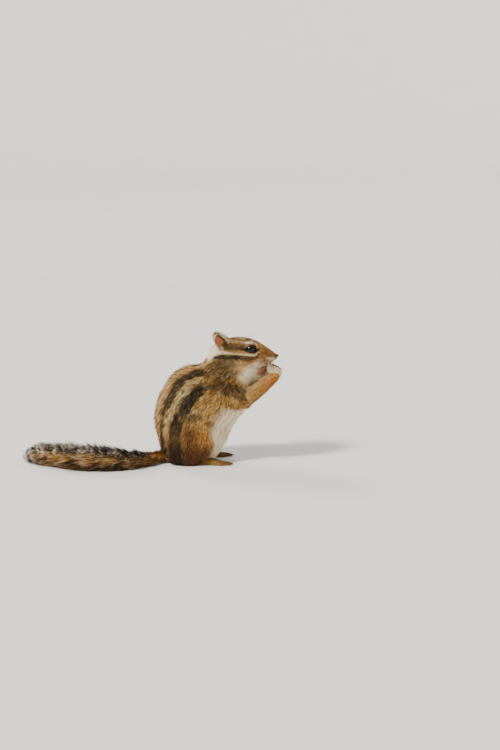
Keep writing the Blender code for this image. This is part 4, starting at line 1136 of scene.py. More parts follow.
@dataclass
class Skin:
    """One skin over the whole body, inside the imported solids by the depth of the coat."""

    markings: Markings
    tail: TailPath
    voxel: float = 0.5
    closing: float = 0.26
    smoothing: int = 12

    def sources(self) -> tuple[Array, Array, Array]:
        """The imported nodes' points grown to meet, with their triangles and the part of each point."""
        points, faces, parts, count = [], [], [], 0
        for part in Part:
            tables = []
            if part is Part.TAIL:
                tables.append(self.tail.core())
            if part is Part.FOREPAW:
                tables += [table for side in Side for table in Hand(side).palm()]
            for name in () if part is Part.FOREPAW else part.nodes:
                places, triangles = mesh_tables(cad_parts[name].data)
                _, first, index = np.unique(np.round(places, 7), axis=0, return_index=True, return_inverse=True)
                places, triangles = places[first], index.reshape(-1)[triangles]
                normals = point_normals(places, triangles)
                tables.append((BODY.millimetres(places) + normals * self.closing, triangles))
            for places, triangles in tables:
                points.append(places)
                faces.append(triangles + count)
                parts.append(np.full(len(places), part.value))
                count += len(places)
        return np.vstack(points), np.vstack(faces), np.concatenate(parts)

    def remeshed(self, points: Array, faces: Array) -> tuple[Array, Array]:
        """One even skin round all the pieces, in millimetres."""
        mesh = bpy.data.meshes.new("skin_source")
        fill_mesh(mesh, points, [faces])
        made = bpy.data.objects.new("skin_source", mesh)
        bpy.context.scene.collection.objects.link(made)
        modifier = made.modifiers.new("even", "REMESH")
        modifier.mode = "VOXEL"
        modifier.voxel_size = self.voxel
        graph = bpy.context.evaluated_depsgraph_get()
        even = made.evaluated_get(graph)
        tables = mesh_tables(even.to_mesh())
        even.to_mesh_clear()
        bpy.data.objects.remove(made)
        bpy.data.meshes.remove(mesh)
        return tables

    def nearest_part(self, points: Array, sources: Array, parts: Array) -> Array:
        """The part of the body that each point is nearest to."""
        tree = KDTree(len(sources))
        for i, place in enumerate(sources):
            tree.insert(place, i)
        tree.balance()
        return np.array([parts[tree.find(place)[1]] for place in points])

    def shape(self) -> None:
        """Works out the skin's points, normals, parts and the coat's numbers on it."""
        sources, faces, parts = self.sources()
        points, self.triangles = self.remeshed(sources, faces)
        LOG.info("even skin: %d points", len(points))
        dense = np.vstack([sources, sources[faces].mean(axis=1)])
        dense_parts = np.concatenate([parts, parts[faces[:, 0]]])
        self.part = self.nearest_part(points, dense, dense_parts)
        relax = Relaxer(self.triangles, len(points))
        fine = np.isin(self.part, (Part.EAR.value, Part.FOREPAW.value, Part.HIND_FOOT.value))
        eyes = [BODY.ball("eye_" + side.word) for side in Side]
        near_eye = np.min([np.linalg.norm(points - middle, axis=1) - radius for middle, radius in eyes], axis=0)
        softness = np.where(fine, 0.12, 0.5) * (0.15 + 0.85 * smooth_step(0.8, 3.0, near_eye))
        points = relax.run(points, self.smoothing, softness)
        table = np.array([PELTS[Part(value)].row() for value in range(len(Part))])[self.part]
        table = relax.run(table, 24)
        self.face_numbers(points, table, near_eye)
        normals = point_normals(points, self.triangles)
        resting = smooth_step(0.2, 2.0, points[:, 2])
        depth = (self.closing + table[:, 0]) * np.where(self.part == Part.TAIL.value, 0.0, 1.0)
        points = points - normals * (depth * (0.25 + 0.75 * resting))[:, None]
        points[:, 2] = np.maximum(points[:, 2], 0.05)
        self.points = relax.run(points, 2, softness)
        self.normals = point_normals(self.points, self.triangles)
        self.pelt = table

    def face_numbers(self, points: Array, table: Array, near_eye: Array) -> None:
        """Makes the coat shorter towards the muzzle, the eyes and the lips."""
        x = points[:, 0]
        head = np.isin(self.part, (Part.HEAD.value,))
        muzzle = np.where(head, smooth_step(40.0, 56.0, x), 0.0)
        lid = np.where(head, smooth_step(3.0, 0.6, near_eye), 0.0)
        short = 1.0 - 0.62 * np.maximum(muzzle, lid)
        for column in (0, 1, 3):
            table[:, column] *= short
        table[:, 2] *= 0.4 + 0.6 * short
        table[:, 4] *= 1.0 + 0.5 * (1.0 - short)

    def unwrap(self, mesh: bpy.types.Mesh, made: bpy.types.Object) -> None:
        """Unwraps the skin by its own shape, for the coat's patches."""
        mesh.uv_layers.new(name=BAKE_MAP)
        bpy.context.view_layer.objects.active = made
        made.select_set(True)
        bpy.ops.object.mode_set(mode="EDIT")
        bpy.ops.mesh.select_all(action="SELECT")
        bpy.ops.uv.smart_project(angle_limit=math.radians(66), island_margin=0.004)
        bpy.ops.object.mode_set(mode="OBJECT")
        made.select_set(False)
        corners = np.empty(len(mesh.loops) * 2, np.float32)
        mesh.uv_layers[BAKE_MAP].data.foreach_get("uv", corners)
        loops = np.empty(len(mesh.loop_triangles) * 3, np.int32)
        mesh.calc_loop_triangles()
        mesh.loop_triangles.foreach_get("loops", loops)
        order = np.empty(len(mesh.loop_triangles) * 3, np.int32)
        mesh.loop_triangles.foreach_get("vertices", order)
        self.triangles = order.reshape(-1, 3)
        self.corner_uv = corners.reshape(-1, 2)[loops].reshape(-1, 3, 2)

    def root_uv(self, roots: Array, part: Part) -> Array:
        """The place on the unwrap of the skin of one part that is nearest to each root."""
        near = np.flatnonzero(self.part[self.triangles[:, 0]] == part.value)
        middles = self.points[self.triangles[near]].mean(axis=1)
        tree = KDTree(len(near))
        for i, place in enumerate(middles):
            tree.insert(place, i)
        tree.balance()
        found = near[np.array([tree.find(place)[1] for place in roots])]
        return self.corner_uv[found].mean(axis=1)

    def build(self) -> bpy.types.Object:
        """Makes the skin."""
        self.shape()
        numbers = self.markings.lay(self.points, self.part, self.normals)
        nodes = [name for part in Part for name in part.nodes] + list(TAIL_NODES)
        finish = CoatFinish("coat_skin", False).build()
        made = Mesh(BODY.metres(self.points), [self.triangles], numbers).build("skin", finish, "coat", nodes)
        self.unwrap(made.data, made)
        return made


@dataclass
class Lie:
    """The way that the coat lies, from strokes of a brush over the body."""

    reach: float = 7.5
    strokes: tuple[tuple[Point, ...], ...] = (
        ((57, 1, 81), (50, 2, 86), (38, 3, 92.5), (26, 3, 93), (13, 2, 89), (5, 2, 84)),
        ((56, 4, 78.5), (47, 7.5, 81), (38, 11.5, 80), (28, 13, 79), (16, 13.5, 76), (6, 14, 68)),
        ((46, 6, 87), (36, 10, 90), (26, 12, 89), (16, 12, 85)),
        ((53, 3, 74.5), (44, 5, 68), (36, 6, 62), (34, 8, 55)),
        ((45, 9, 74), (36, 12, 72), (28, 13, 67), (20, 14, 60)),
        ((5, 3, 84), (1, 4, 78), (-9, 5, 70), (-19, 6, 64.5), (-26, 6, 54.5), (-30.6, 6, 44), (-32.6, 6, 33),
         (-31, 6, 22.5), (-28, 6, 11.5), (-23, 5, 5)),
        ((8, 14, 70), (-6, 19, 59), (-14, 21, 46), (-18, 22, 34), (-20, 20, 20), (-20, 16, 8)),
        ((20, 14, 59), (8, 18, 50), (0, 20, 40), (-4, 22, 30), (-7, 25, 20), (-6, 25, 11), (0, 21, 6)),
        ((20, 14, 46), (12, 18, 38), (7, 21, 30), (6, 23, 20), (8, 22, 12), (11, 18, 6)),
        ((34, 6, 56), (30, 8, 45), (23, 8, 36), (18, 8, 26), (15, 8, 16), (10, 8, 6)),
        ((20, 17, 57), (28, 17, 50), (33, 16, 46), (38, 15, 50), (46, 11.5, 57), (55, 8.5, 63.5), (58, 6.5, 69)),
        ((30, 12, 46), (36, 12, 46), (44, 9, 53), (53, 7, 61), (57, 5, 66)),
        ((-10, 13, 4.5), (3, 14, 5.5), (13, 15, 3.2), (24, 16, 1.5)),
        ((-24, 8, 14), (-26, 4, 8), (-27, 2, 5)),
    )

    def guides(self) -> tuple[Array, Array]:
        """Places along the strokes on both sides, and the way there."""
        places, ways = [], []
        for stroke in self.strokes:
            rows = smooth_rows(stroke, 4)
            way = unit(np.gradient(rows, axis=0))
            for flip in (1.0, -1.0):
                places.append(rows * (1.0, flip, 1.0))
                ways.append(way * (1.0, flip, 1.0))
        return np.vstack(places), np.vstack(ways)

    def read(self, points: Array, normals: Array) -> Array:
        """The way of the coat at each point, along the skin.

        Args:
            points: Rows of places.
            normals: The skin's normals there.

        Returns:
            Rows of unit vectors.
        """
        places, ways = self.guides()
        total = np.zeros_like(points)
        for start in range(0, len(points), 20000):
            part = points[start : start + 20000]
            away = ((part[:, None, :] - places[None]) ** 2).sum(axis=2)
            nearest = away.min(axis=1, keepdims=True)
            weight = np.exp(-(away - nearest) / self.reach**2)
            total[start : start + 20000] = weight @ ways
        swirl = np.stack([value_noise(points, 5.0, seed) for seed in (21, 22, 23)], axis=1)
        total = unit(total) + swirl * 0.28
        return unit(total - normals * (total * normals).sum(axis=1, keepdims=True))


@dataclass
class Tufts:
    """Many thin tapered hairs as one table of points, each rooted in the skin.

    Attributes:
        roots: Where they grow.
        normals: The skin's normals there.
        ways: The way that they lie.
        length: How long each is.
        width: How wide each is.
        rise: How far each tip stands off the skin.
        uv: The root's place on the skin's unwrap.
        numbers: What each hair carries for its finish.
    """

    roots: Array
    normals: Array
    ways: Array
    length: Array
    width: Array
    rise: Array
    uv: Array
    numbers: dict[str, Array]
    stations: tuple[float, ...] = (0.0, 0.5, 1.0)
    widths: tuple[float, ...] = (0.75, 1.0)
    patch: float = 0.0015
    straight: float = 1.8

    def mesh(self, draw: np.random.Generator, keep: Array, pull: Union[Array, None] = None) -> Mesh:
        """Builds the kept hairs.

        Args:
            draw: Where the small differences come from.
            keep: Which hairs are built.
            pull: How far each tip is drawn aside into its lock.

        Returns:
            Their mesh, in metres.
        """
        roots, normals, ways = self.roots[keep], self.normals[keep], self.ways[keep]
        count = len(roots)
        across = np.cross(normals, ways)
        roll = draw.normal(0.0, 0.45, count)[:, None]
        flat = across * np.cos(roll) + normals * np.sin(roll)
        bend = draw.normal(0.0, 0.10, count)[:, None]
        side = np.zeros_like(roots) if pull is None else pull[keep]
        points, tips, patches = [], [], []
        for i, t in enumerate(self.stations):
            ahead = ways * (self.length[keep] * t)[:, None]
            up = normals * (self.rise[keep] * (1.0 - (1.0 - t) ** self.straight) - 0.12 * (t == 0.0))[:, None]
            aside = across * (bend * t * t) * self.length[keep][:, None] + side * t * t
            middle = roots + ahead + up + aside
            if i < len(self.widths):
                half = flat * (self.width[keep] * self.widths[i] / 2)[:, None]
                points += [middle - half, middle + half]
                tips += [np.full(count, t)] * 2
                patches += [(-self.patch, self.patch * (2 * t - 1)), (self.patch, self.patch * (2 * t - 1))]
            else:
                points.append(middle)
                tips.append(np.full(count, t))
                patches.append((0.0, self.patch))
        each = len(points)
        table = np.stack(points, axis=1).reshape(-1, 3)
        table[:, 2] = np.maximum(table[:, 2], 0.05)
        start = (np.arange(count) * each)[:, None]
        quads = [start + np.array([[2 * i, 2 * i + 1, 2 * i + 3, 2 * i + 2]]) for i in range(len(self.widths) - 1)]
        faces = [np.vstack(quads), start + np.array([[each - 3, each - 2, each - 1]])]
        numbers = {key: np.repeat(values[keep], each) for key, values in self.numbers.items()}
        numbers["tip"] = np.stack(tips, axis=1).ravel()
        uv = (self.uv[keep][:, None, :] + np.array(patches)[None]).reshape(-1, 2)
        return Mesh(BODY.metres(table), faces, numbers, uv)


@dataclass
class Coat:
    """The hair of the body, in pieces of under 200,000 triangles."""

    skin: Skin
    markings: Markings
    lie: Lie = field(default_factory=Lie)
    fluffy: tuple[Blotch, ...] = (
        Blotch(Mark.CREAM, (10.6, 84.0), (4.5, 7.0), -16, 0.4, 0.25), Blotch(Mark.CREAM, (44.0, 65.0), (7.0, 4.0), 20, 0.5, 0.8))
    thinning: float = 1.8
    fineness: float = 0.86
    lock_shares: tuple[float, float] = (0.42, 0.105)
    lock_search: int = 10
    lock_share: float = 0.5
    seed: int = 5

    def sow(self, draw: np.random.Generator) -> Tufts:
        """Roots hairs evenly over the skin, by each part's density."""
        skin = self.skin
        corners = skin.points[skin.triangles]
        area = np.linalg.norm(np.cross(corners[:, 1] - corners[:, 0], corners[:, 2] - corners[:, 0]), axis=1) / 2
        density = skin.pelt[skin.triangles, 4].mean(axis=1) * self.thinning
        density = density * self.bare(corners.mean(axis=1), skin.normals[skin.triangles[:, 0]])
        wanted = area * density
        each = np.floor(wanted + draw.random(len(wanted))).astype(int)
        face = np.repeat(np.arange(len(wanted)), each)
        share = draw.random((len(face), 2))
        over = share.sum(axis=1) > 1.0
        share[over] = 1.0 - share[over]
        share = np.column_stack([1.0 - share.sum(axis=1), share])[..., None]
        corner = skin.triangles[face]

        def blend(table: Array) -> Array:
            return (table[corner] * share).sum(axis=1)

        roots = blend(skin.points)
        normals = unit(blend(skin.normals))
        pelt = blend(skin.pelt)
        self.way = self.lie.read(skin.points, skin.normals)
        self.corner = corner[np.arange(len(face)), share[..., 0].argmax(axis=1)]
        ways = blend(self.way) + draw.normal(0.0, 0.10, (len(face), 3))
        ways = unit(ways - normals * (ways * normals).sum(axis=1, keepdims=True))
        uv = (skin.corner_uv[face] * share).sum(axis=1)
        part = skin.part[corner[:, 0]]
        wobble = draw.uniform(0.72, 1.18, len(face))
        wander = 0.12 + 0.06 * pelt[:, 1]
        marks = self.markings.lay(roots + draw.normal(0.0, 1.0, roots.shape) * wander[:, None], part, normals)
        marks["ticking"] = pelt[:, 5] * (1.0 - 0.86 * marks[Mark.CREAM.field])
        marks["band"] = np.zeros(len(face))
        self.part = part
        guard = (draw.random(len(face)) < 0.09) * smooth_step(2.6, 4.4, pelt[:, 1])
        fluff = np.maximum.reduce([patch.laid(roots) for patch in self.fluffy])
        length = pelt[:, 1] * wobble * (1.0 + 0.2 * guard + 0.25 * fluff)
        width = pelt[:, 2] * draw.uniform(0.8, 1.2, len(face)) * self.fineness * (1.0 + 0.5 * guard)
        rise = pelt[:, 3] * draw.uniform(0.6, 1.3, len(face)) * (1.0 + 1.5 * guard + 1.1 * fluff)
        return Tufts(roots, normals, ways, length, width, rise, uv, marks)

    def bare(self, places: Array, normals: Array) -> Array:
        """How much of the coat grows: none in the eyes, on the nose pad, in the mouth and under the feet."""
        keep = np.ones(len(places))
        for side in Side:
            middle, radius = BODY.ball("eye_" + side.word)
            keep *= smooth_step(radius + 0.15, radius + 0.6, np.linalg.norm(places - middle, axis=1))
        keep *= smooth_step(1.2, 2.2, np.linalg.norm((places - (58.2, 0.0, 79.0)) * (1.0, 0.8, 0.8), axis=1))
        keep *= 1.0 - 0.93 * Blotch(Mark.PINK, (46.2, 68.6), (3.0, 2.0), 20, 0.3).laid(places)
        sole = (places[:, 2] < 0.6) & (normals[:, 2] < -0.3)
        return np.where(sole, 0.05, keep)

    def locks(self, tufts: Tufts, draw: np.random.Generator) -> Array:
        """Draws the tips of neighbouring hairs together, so that the coat falls into small long locks."""
        skin = self.skin
        long, wide = (skin.pelt[:, 1] * share for share in self.lock_shares)
        corners = skin.points[skin.triangles]
        area = np.linalg.norm(np.cross(corners[:, 1] - corners[:, 0], corners[:, 2] - corners[:, 0]), axis=1) / 6
        room = np.bincount(skin.triangles.ravel(), np.repeat(area, 3), len(skin.points))
        seeds = np.flatnonzero(draw.random(len(skin.points)) < room / (long * wide))
        tree = KDTree(len(seeds))
        for i, index in enumerate(seeds):
            tree.insert(skin.points[index], i)
        tree.balance()
        near = np.array([[hit[1] for hit in tree.find_n(place, self.lock_search)] for place in skin.points])
        off = skin.points[seeds][near] - skin.points[:, None]
        ahead = (off * self.way[:, None]).sum(axis=2)
        away = (ahead * (wide / long)[:, None]) ** 2 + (off**2).sum(axis=2) - ahead**2
        lock = near[np.arange(len(near)), away.argmin(axis=1)][self.corner]
        shared = draw.random(len(seeds))[lock]
        count = len(tufts.roots)
        tufts.numbers["chance"] = np.where(draw.random(count) < self.lock_share, shared, draw.random(count))
        aside = skin.points[seeds[lock]] - tufts.roots
        for other in (tufts.normals, tufts.ways):
            aside -= other * (aside * other).sum(axis=1, keepdims=True)
        far = np.linalg.norm(aside, axis=1, keepdims=True)
        return aside * np.minimum(0.6, tufts.length[:, None] * 0.2 / np.maximum(far, 1e-6))

    def build(self) -> list[bpy.types.Object]:
        """Makes the coat's pieces."""
        draw = np.random.default_rng(self.seed)
        tufts = self.sow(draw)
        pull = self.locks(tufts, draw)
        LOG.info("coat: %d hairs", len(tufts.roots))
        finish = CoatFinish("coat_hair", True).build()
        right = tufts.roots[:, 1] < 0
        names = np.array([Part(value).name.lower() for value in range(len(Part))])[self.part]
        made = []
        for part, side in itertools.product(Part, Side):
            mine = (names == part.name.lower()) & (right if side is Side.RIGHT else ~right)
            total = int(mine.sum())
            if not total:
                continue
            pieces = math.ceil(total * 3 / 190000)
            level = np.argsort(np.argsort(tufts.roots[mine, 2])) * pieces // total
            for piece in range(pieces):
                keep = np.flatnonzero(mine)[level == piece]
                name = f"coat_{part.name.lower()}_{side.word}" + (f"_{piece + 1}" if pieces > 1 else "")
                slot = {Part.EAR: "ear_skin", Part.FOREPAW: "paw", Part.HIND_FOOT: "paw"}.get(part, "coat")
                made.append(tufts.mesh(draw, keep, pull).build(name, finish, slot))
        return made


@dataclass
class TailHair:
    """The brush of the tail: long hairs that leave the core and lie back along it."""

    path: TailPath
    skin: Skin
    count: int = 38000
    lock_count: int = 1500
    seed: int = 9

    def locks(self, share: Array, turn: Array, draw: np.random.Generator) -> tuple[Array, Array, Array]:
        """Gathers the hairs into locks.

        Args:
            share: How far along the tail each hair is rooted.
            turn: How far round it, in radians.
            draw: Where the differences between locks come from.

        Returns:
            For each hair, the way to its lock's middle along and round, and four numbers that its lock shares.
        """
        spot = np.column_stack([share * self.path.length * 0.6, np.cos(turn) * 3.6, np.sin(turn) * 3.6])
        heads = draw.choice(self.count, self.lock_count, replace=False)
        tree = KDTree(len(heads))
        for i, head in enumerate(heads):
            tree.insert(spot[head], i)
        tree.balance()
        lock = np.array([tree.find(place)[1] for place in spot])
        round_by = (turn[heads][lock] - turn + np.pi) % (2 * np.pi) - np.pi
        return share[heads][lock] - share, round_by, draw.random((len(heads), 4))[lock]

    def build(self) -> list[bpy.types.Object]:
        """Makes the brush's pieces."""
        draw = np.random.default_rng(self.seed)
        share = 0.02 + 0.94 * draw.beta(1.15, 1.0, self.count)
        turn = draw.uniform(0.0, 2 * np.pi, self.count)
        core = self.path.read(share)[2]
        radius = core * self.path.core_share * 0.9
        roots = self.path.around(share, turn, radius)
        normals = unit(self.path.around(share, turn, radius + 1.0) - roots)
        along_by, round_by, own = self.locks(share, turn, draw)
        drawn = np.where(draw.random(self.count) < 0.72, draw.uniform(0.5, 0.85, self.count), 0.1)
        lift, sway, tint = own[:, 0] * 2 - 1, own[:, 1] * 2 - 1, own[:, 2]
        grown = smooth_step(0.02, 0.24, share)
        upper = np.sin(turn + round_by)
        stand = smooth_step(0.2, 0.8, upper + sway * 0.25) * grown
        ahead = 4.5 + (7.5 + 2.6 * (own[:, 3] * 2 - 1)) * grown * (1.0 - 0.62 * stand)
        ahead = ahead * draw.uniform(0.82, 1.14, self.count) * np.minimum(1.0, 0.45 + (1.02 - share) * 4.0)
        end_share = share + along_by * drawn + ahead / self.path.length
        brush = 8.6 * smooth_step(1.12, 0.88, end_share) * smooth_step(0.62, 0.84, end_share)
        reach = np.maximum(self.path.read(end_share)[3], brush)
        low = smooth_step(-0.2, -0.8, upper)
        end_reach = reach * (0.82 + 0.20 * lift + 0.26 * stand + 0.2 * low) * draw.uniform(0.78, 1.12, self.count)
        end_reach = np.maximum(end_reach, core * self.path.core_share + 0.5)
        lean = turn + round_by * drawn + sway * 0.22 + draw.normal(0.0, 0.05, self.count)
        tips = self.path.around(np.minimum(end_share, 1.08), lean, end_reach)
        tips[:, 2] = np.maximum(tips[:, 2], 0.15)
        chord = tips - roots
        outward = (chord * normals).sum(axis=1)
        ways = chord - normals * outward[:, None]
        length = np.linalg.norm(ways, axis=1)
        numbers = self.marks(share, turn + round_by * 0.6, tint, draw)
        width = draw.uniform(0.30, 0.52, self.count) * (0.55 + 0.45 * grown)
        tufts = Tufts(roots, normals, unit(ways), length, width, outward, self.skin.root_uv(roots, Part.TAIL),
                      numbers, (0.0, 0.3, 0.65, 1.0), (0.7, 1.0, 0.8), straight=1.2)
        finish = CoatFinish("tail_hair", True).build()
        made = []
        cuts = np.array([0.0, 0.235, 0.49, 0.735, 1.1])
        for i in range(4):
            keep = np.flatnonzero((share >= cuts[i]) & (share < cuts[i + 1]))
            made.append(tufts.mesh(draw, keep).build(f"tail_hair_{i + 1}", finish, "tail_hair", [TAIL_NODES[i]]))
        return made

    def marks(self, share: Array, turn: Array, tint: Array, draw: np.random.Generator) -> dict[str, Array]:
        """The colours of the brush: dark and pale-tipped above, rust at the sides, and brown and dark on the underside
        as painted shade.
        """
        laid = {mark.field: np.zeros(self.count) for mark in Mark}
        height = np.sin(turn) + draw.normal(0.0, 0.2, self.count)
        above, shaded_under = smooth_step(0.3, 0.75, height), smooth_step(0.3, -0.3, height)
        root, end = smooth_step(0.3, 0.06, share), smooth_step(0.76, 0.93, share)
        chance = np.where(draw.random(self.count) < 0.7, tint, draw.random(self.count))
        laid["chance"] = chance
        laid[Mark.FLAME.field] = np.clip(0.25 + 0.45 * root + 0.4 * (tint - 0.5), 0.0, 0.9)
        # Brown and dark on the tail's underside are painted shade; on top they are the brush's own dark.
        laid[Mark.BROWN.field] = np.clip((shaded_under * 0.7 + above * 0.5) * (1.0 - 0.7 * root), 0.0, 0.9)
        laid[Mark.DARK.field] = np.maximum(shaded_under * 0.8 * (chance < 0.7), above * 0.5) * (1.0 - 0.8 * root)
        laid["ticking"] = 0.95 - 0.2 * root
        laid["band"] = np.maximum(smooth_step(0.1, 0.26, share) * above, end)
        return laid


@dataclass
class Eye:
    """An eyeball with its cornea, and the lids round it."""

    side: Side
    look: Point = (0.26, 1.0, 0.22)
    opening: tuple[float, float] = (3.95, 3.0)
    tilt: float = -8.0
    lid: float = 0.36

    def __post_init__(self) -> None:
        """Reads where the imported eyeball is, and the ways round it."""
        self.middle, self.radius = BODY.ball("eye_" + self.side.word)
        self.ahead = unit(np.array(self.look) * (1.0, self.side.value, 1.0))
        across = unit(np.cross((0.0, 0.0, 1.0), self.ahead)) * self.side.value
        turn = math.radians(self.tilt) * self.side.value
        self.across = across * math.cos(turn) + np.cross(self.ahead, across) * math.sin(turn)
        self.up = np.cross(self.ahead, self.across)
        self.up = self.up * np.sign(self.up[2])

    def ball(self) -> bpy.types.Object:
        """Makes the eyeball, with a cornea that stands a little proud."""
        rings, sides = 40, 56
        polar, turn = np.meshgrid(np.linspace(0.0, np.pi, rings), np.arange(sides) * 2 * np.pi / sides, indexing="ij")
        bulge = 1.0 + 0.035 * smooth_step(0.95, 0.25, polar)
        local = np.stack([np.sin(polar) * np.cos(turn), np.sin(polar) * np.sin(turn), np.cos(polar)], axis=-1)
        axes = np.stack([self.across, self.up, self.ahead])
        points = (local * bulge[..., None] * self.radius * 0.985) @ axes + self.middle
        faces = np.array(tube_faces(rings, sides))
        if np.dot(np.cross(self.across, self.up), self.ahead) > 0:
            faces = faces[:, ::-1]
        numbers = {"off_axis": np.sin(polar).ravel() + (polar.ravel() > np.pi / 2)}
        name = "eyeball_" + self.side.word
        return Mesh(BODY.metres(points.reshape(-1, 3)), [faces], numbers).build(name, EyeFinish().build(), "eye", ["eye_" + self.side.word])

    def lids(self) -> bpy.types.Object:
        """Makes the rim of the lids: a soft roll that narrows to a corner in front and behind."""
        steps, sides = 72, 12
        turn = np.arange(steps) * 2 * np.pi / steps
        corner = 1.0 + 0.16 * np.abs(np.cos(turn)) ** 12
        wide = self.opening[0] * 0.86 * np.cos(turn) * corner
        high = self.opening[1] * 0.92 * np.sin(turn)
        flat = wide[:, None] * self.across + high[:, None] * self.up
        reach = self.radius * 1.015
        lift = np.sqrt(np.maximum(reach**2 - (flat**2).sum(axis=1), 0.3))
        path = self.middle + flat + lift[:, None] * self.ahead
        way = unit(np.roll(path, -1, axis=0) - np.roll(path, 1, axis=0))
        out = unit(path - self.middle)
        aside = np.cross(way, out)
        size = self.lid * (1.0 - 0.25 * np.abs(np.cos(turn)) ** 4)
        around = np.arange(sides) * 2 * np.pi / sides
        ring = out[:, None] * np.cos(around)[None, :, None] * 0.8 + aside[:, None] * np.sin(around)[None, :, None] * 1.35
        points = path[:, None] + ring * size[:, None, None]
        faces = [(i * sides + j, i * sides + (j + 1) % sides, (i + 1) % steps * sides + (j + 1) % sides, (i + 1) % steps * sides + j)
                 for i, j in itertools.product(range(steps), range(sides))]
        numbers = {"shade": np.tile((1 + np.cos(around)) / 2, steps) * 0.4}
        finish = GrainFinish("lid_skin", (0.05, 0.035, 0.03), (0.16, 0.10, 0.07), 0.45, 0.00025).build()
        return Mesh(BODY.metres(points.reshape(-1, 3)), [np.array(faces)], numbers).build("lids_" + self.side.word, finish, "eye")


@dataclass
class Nose:
    """The bare pad at the tip of the muzzle, with two nostrils and the groove between them."""

    tip: Point = (57.9, 0.0, 79.3)
    width: float = 2.4
    height: float = 2.2
    bulge: float = 1.35

    def build(self) -> bpy.types.Object:
        """Makes the pad as one closed cushion."""
        rings, sides = 36, 72
        polar, turn = np.meshgrid(np.linspace(0.0, np.pi, rings), np.arange(sides) * 2 * np.pi / sides, indexing="ij")
        y, z = np.sin(polar) * np.cos(turn), np.sin(polar) * np.sin(turn)
        x = np.cos(polar)
        narrow = 1.0 - 0.28 * smooth_step(0.0, -1.0, z)
        pit = sum(np.exp(-(((y - s * 0.46) / 0.2) ** 2 + ((z + 0.05 - 0.25 * (np.abs(y) - 0.46)) / 0.26) ** 2)) for s in (-1, 1))
        groove = np.exp(-((y / 0.09) ** 2)) * smooth_step(0.25, -0.2, z)
        front = smooth_step(-0.1, 0.5, x)
        depth = (0.75 * pit + 0.22 * groove) * front
        points = np.stack([x * self.bulge - depth, y * narrow * self.width / 2 * 1.1, z * self.height / 2], axis=-1)
        tilt = math.radians(-18)
        turned = np.array([[math.cos(tilt), 0, -math.sin(tilt)], [0, 1, 0], [math.sin(tilt), 0, math.cos(tilt)]])
        points = points.reshape(-1, 3) @ turned.T + np.array(self.tip) - (self.bulge * 0.72, 0, 0)
        # The nostril pits and the groove between them are shaded towards near-black: painted shade in these recesses.
        numbers = {"shade": np.clip(1.25 * pit * front + 0.35 * groove, 0, 1).ravel()}
        finish = GrainFinish("nose_skin", (0.27, 0.20, 0.165), (0.04, 0.028, 0.024), 0.4, 0.00022, 0.00005).build()
        return Mesh(BODY.metres(points), [np.array(tube_faces(rings, sides))], numbers).build("nose_pad", finish, "ear_skin")


def horn_rows(start: Array, way: Array, droop: Array, length: float, radius: float, curve: float) -> tuple[Array, Array]:
    """A tapered curved rod: its points in rings and how far along each is.

    Args:
        start: Where it is rooted.
        way: Where it points.
        droop: Which way it curves.
        length: How long it is.
        radius: Its radius at the root.
        curve: How far it curves, as a share of its length.

    Returns:
        Points as rings, and the share along of each ring.
    """
    shares = np.linspace(0.0, 1.0, 9)
    middle = start + np.outer(shares, way) * length + np.outer(shares**2, droop) * length * curve
    along = unit(np.gradient(middle, axis=0))
    across = unit(np.cross(along, droop + np.array([0.01, 0.02, 0.03])))
    lift = np.cross(across, along)
    turns = np.arange(8) * np.pi / 4
    size = radius * (1.0 - shares) ** 0.7 + 0.02
    ring = across[:, None] * np.cos(turns)[None, :, None] * 0.72 + lift[:, None] * np.sin(turns)[None, :, None]
    return middle[:, None] + ring * size[:, None, None], shares


def join_rods(rods: Sequence[tuple[Array, Array]]) -> Mesh:
    """Many rods of rings as one mesh, shaded from root to tip."""
    points, faces, shade, count = [], [], [], 0
    for rings, shares in rods:
        rows, sides = rings.shape[:2]
        points.append(rings.reshape(-1, 3))
        faces.append(np.array(tube_faces(rows, sides)) + count)
        shade.append(np.repeat(shares, sides))
        for ring in (np.arange(sides)[::-1], np.arange(sides) + (rows - 1) * sides):
            faces.append(np.stack([np.full(sides - 2, ring[0]), ring[1:-1], ring[2:]], axis=1) + count)
        count += rows * sides
    return Mesh(BODY.metres(np.vstack(points)), [np.vstack(faces)], {"shade": np.concatenate(shade)})


@dataclass
class Claws:
    """The claws of one forepaw and one hind foot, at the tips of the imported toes."""

    side: Side
    heel: Point = (-10.0, 13.2, 0.0)
    ball: Point = (13.8, 15.2, 0.0)
    toe_lengths: tuple[float, ...] = (6.0, 8.8, 9.8, 8.8, 5.6)
    toe_spread: tuple[float, ...] = (-15.0, -6.0, 0.0, 6.5, 16.0)
    toe_radius: float = 1.25
    foot_half_width: float = 4.4

    def hind(self) -> list[tuple[Array, Array]]:
        """The five claws of the hind foot."""
        side = self.side.value
        heel, front = (np.array(p) * (1.0, side, 1.0) for p in (self.heel, self.ball))
        along = unit(front - heel)
        across = np.cross((0.0, 0.0, 1.0), along) * side
        rods = []
        for i, (length, spread) in enumerate(zip(self.toe_lengths, self.toe_spread)):
            turn = math.radians(spread) * side
            way = along * math.cos(turn) + np.cross((0.0, 0.0, 1.0), along) * math.sin(turn)
            shift = (i - 2) / 2 * (self.foot_half_width - self.toe_radius * 0.9)
            root = front + across * shift - along * (1.5 + 1.7 * abs((i - 2) / 2) ** 2)
            start = root + way * (length + 0.2) + (0.0, 0.0, 1.35)
            rods.append(horn_rows(start, way, np.array([0.0, 0.0, -1.0]), 2.6, 0.5, 0.42))
        return rods

    def build(self) -> list[bpy.types.Object]:
        """Makes the claws."""
        finish = GrainFinish("claw_horn", (0.30, 0.22, 0.16), (0.10, 0.07, 0.05), 0.3, 0.0002, 0.00002).build()
        fore = join_rods(Hand(self.side).claws()).build("claws_fore_" + self.side.word, finish, "paw")
        hind = join_rods(self.hind()).build("claws_hind_" + self.side.word, finish, "paw")
        return [fore, hind]


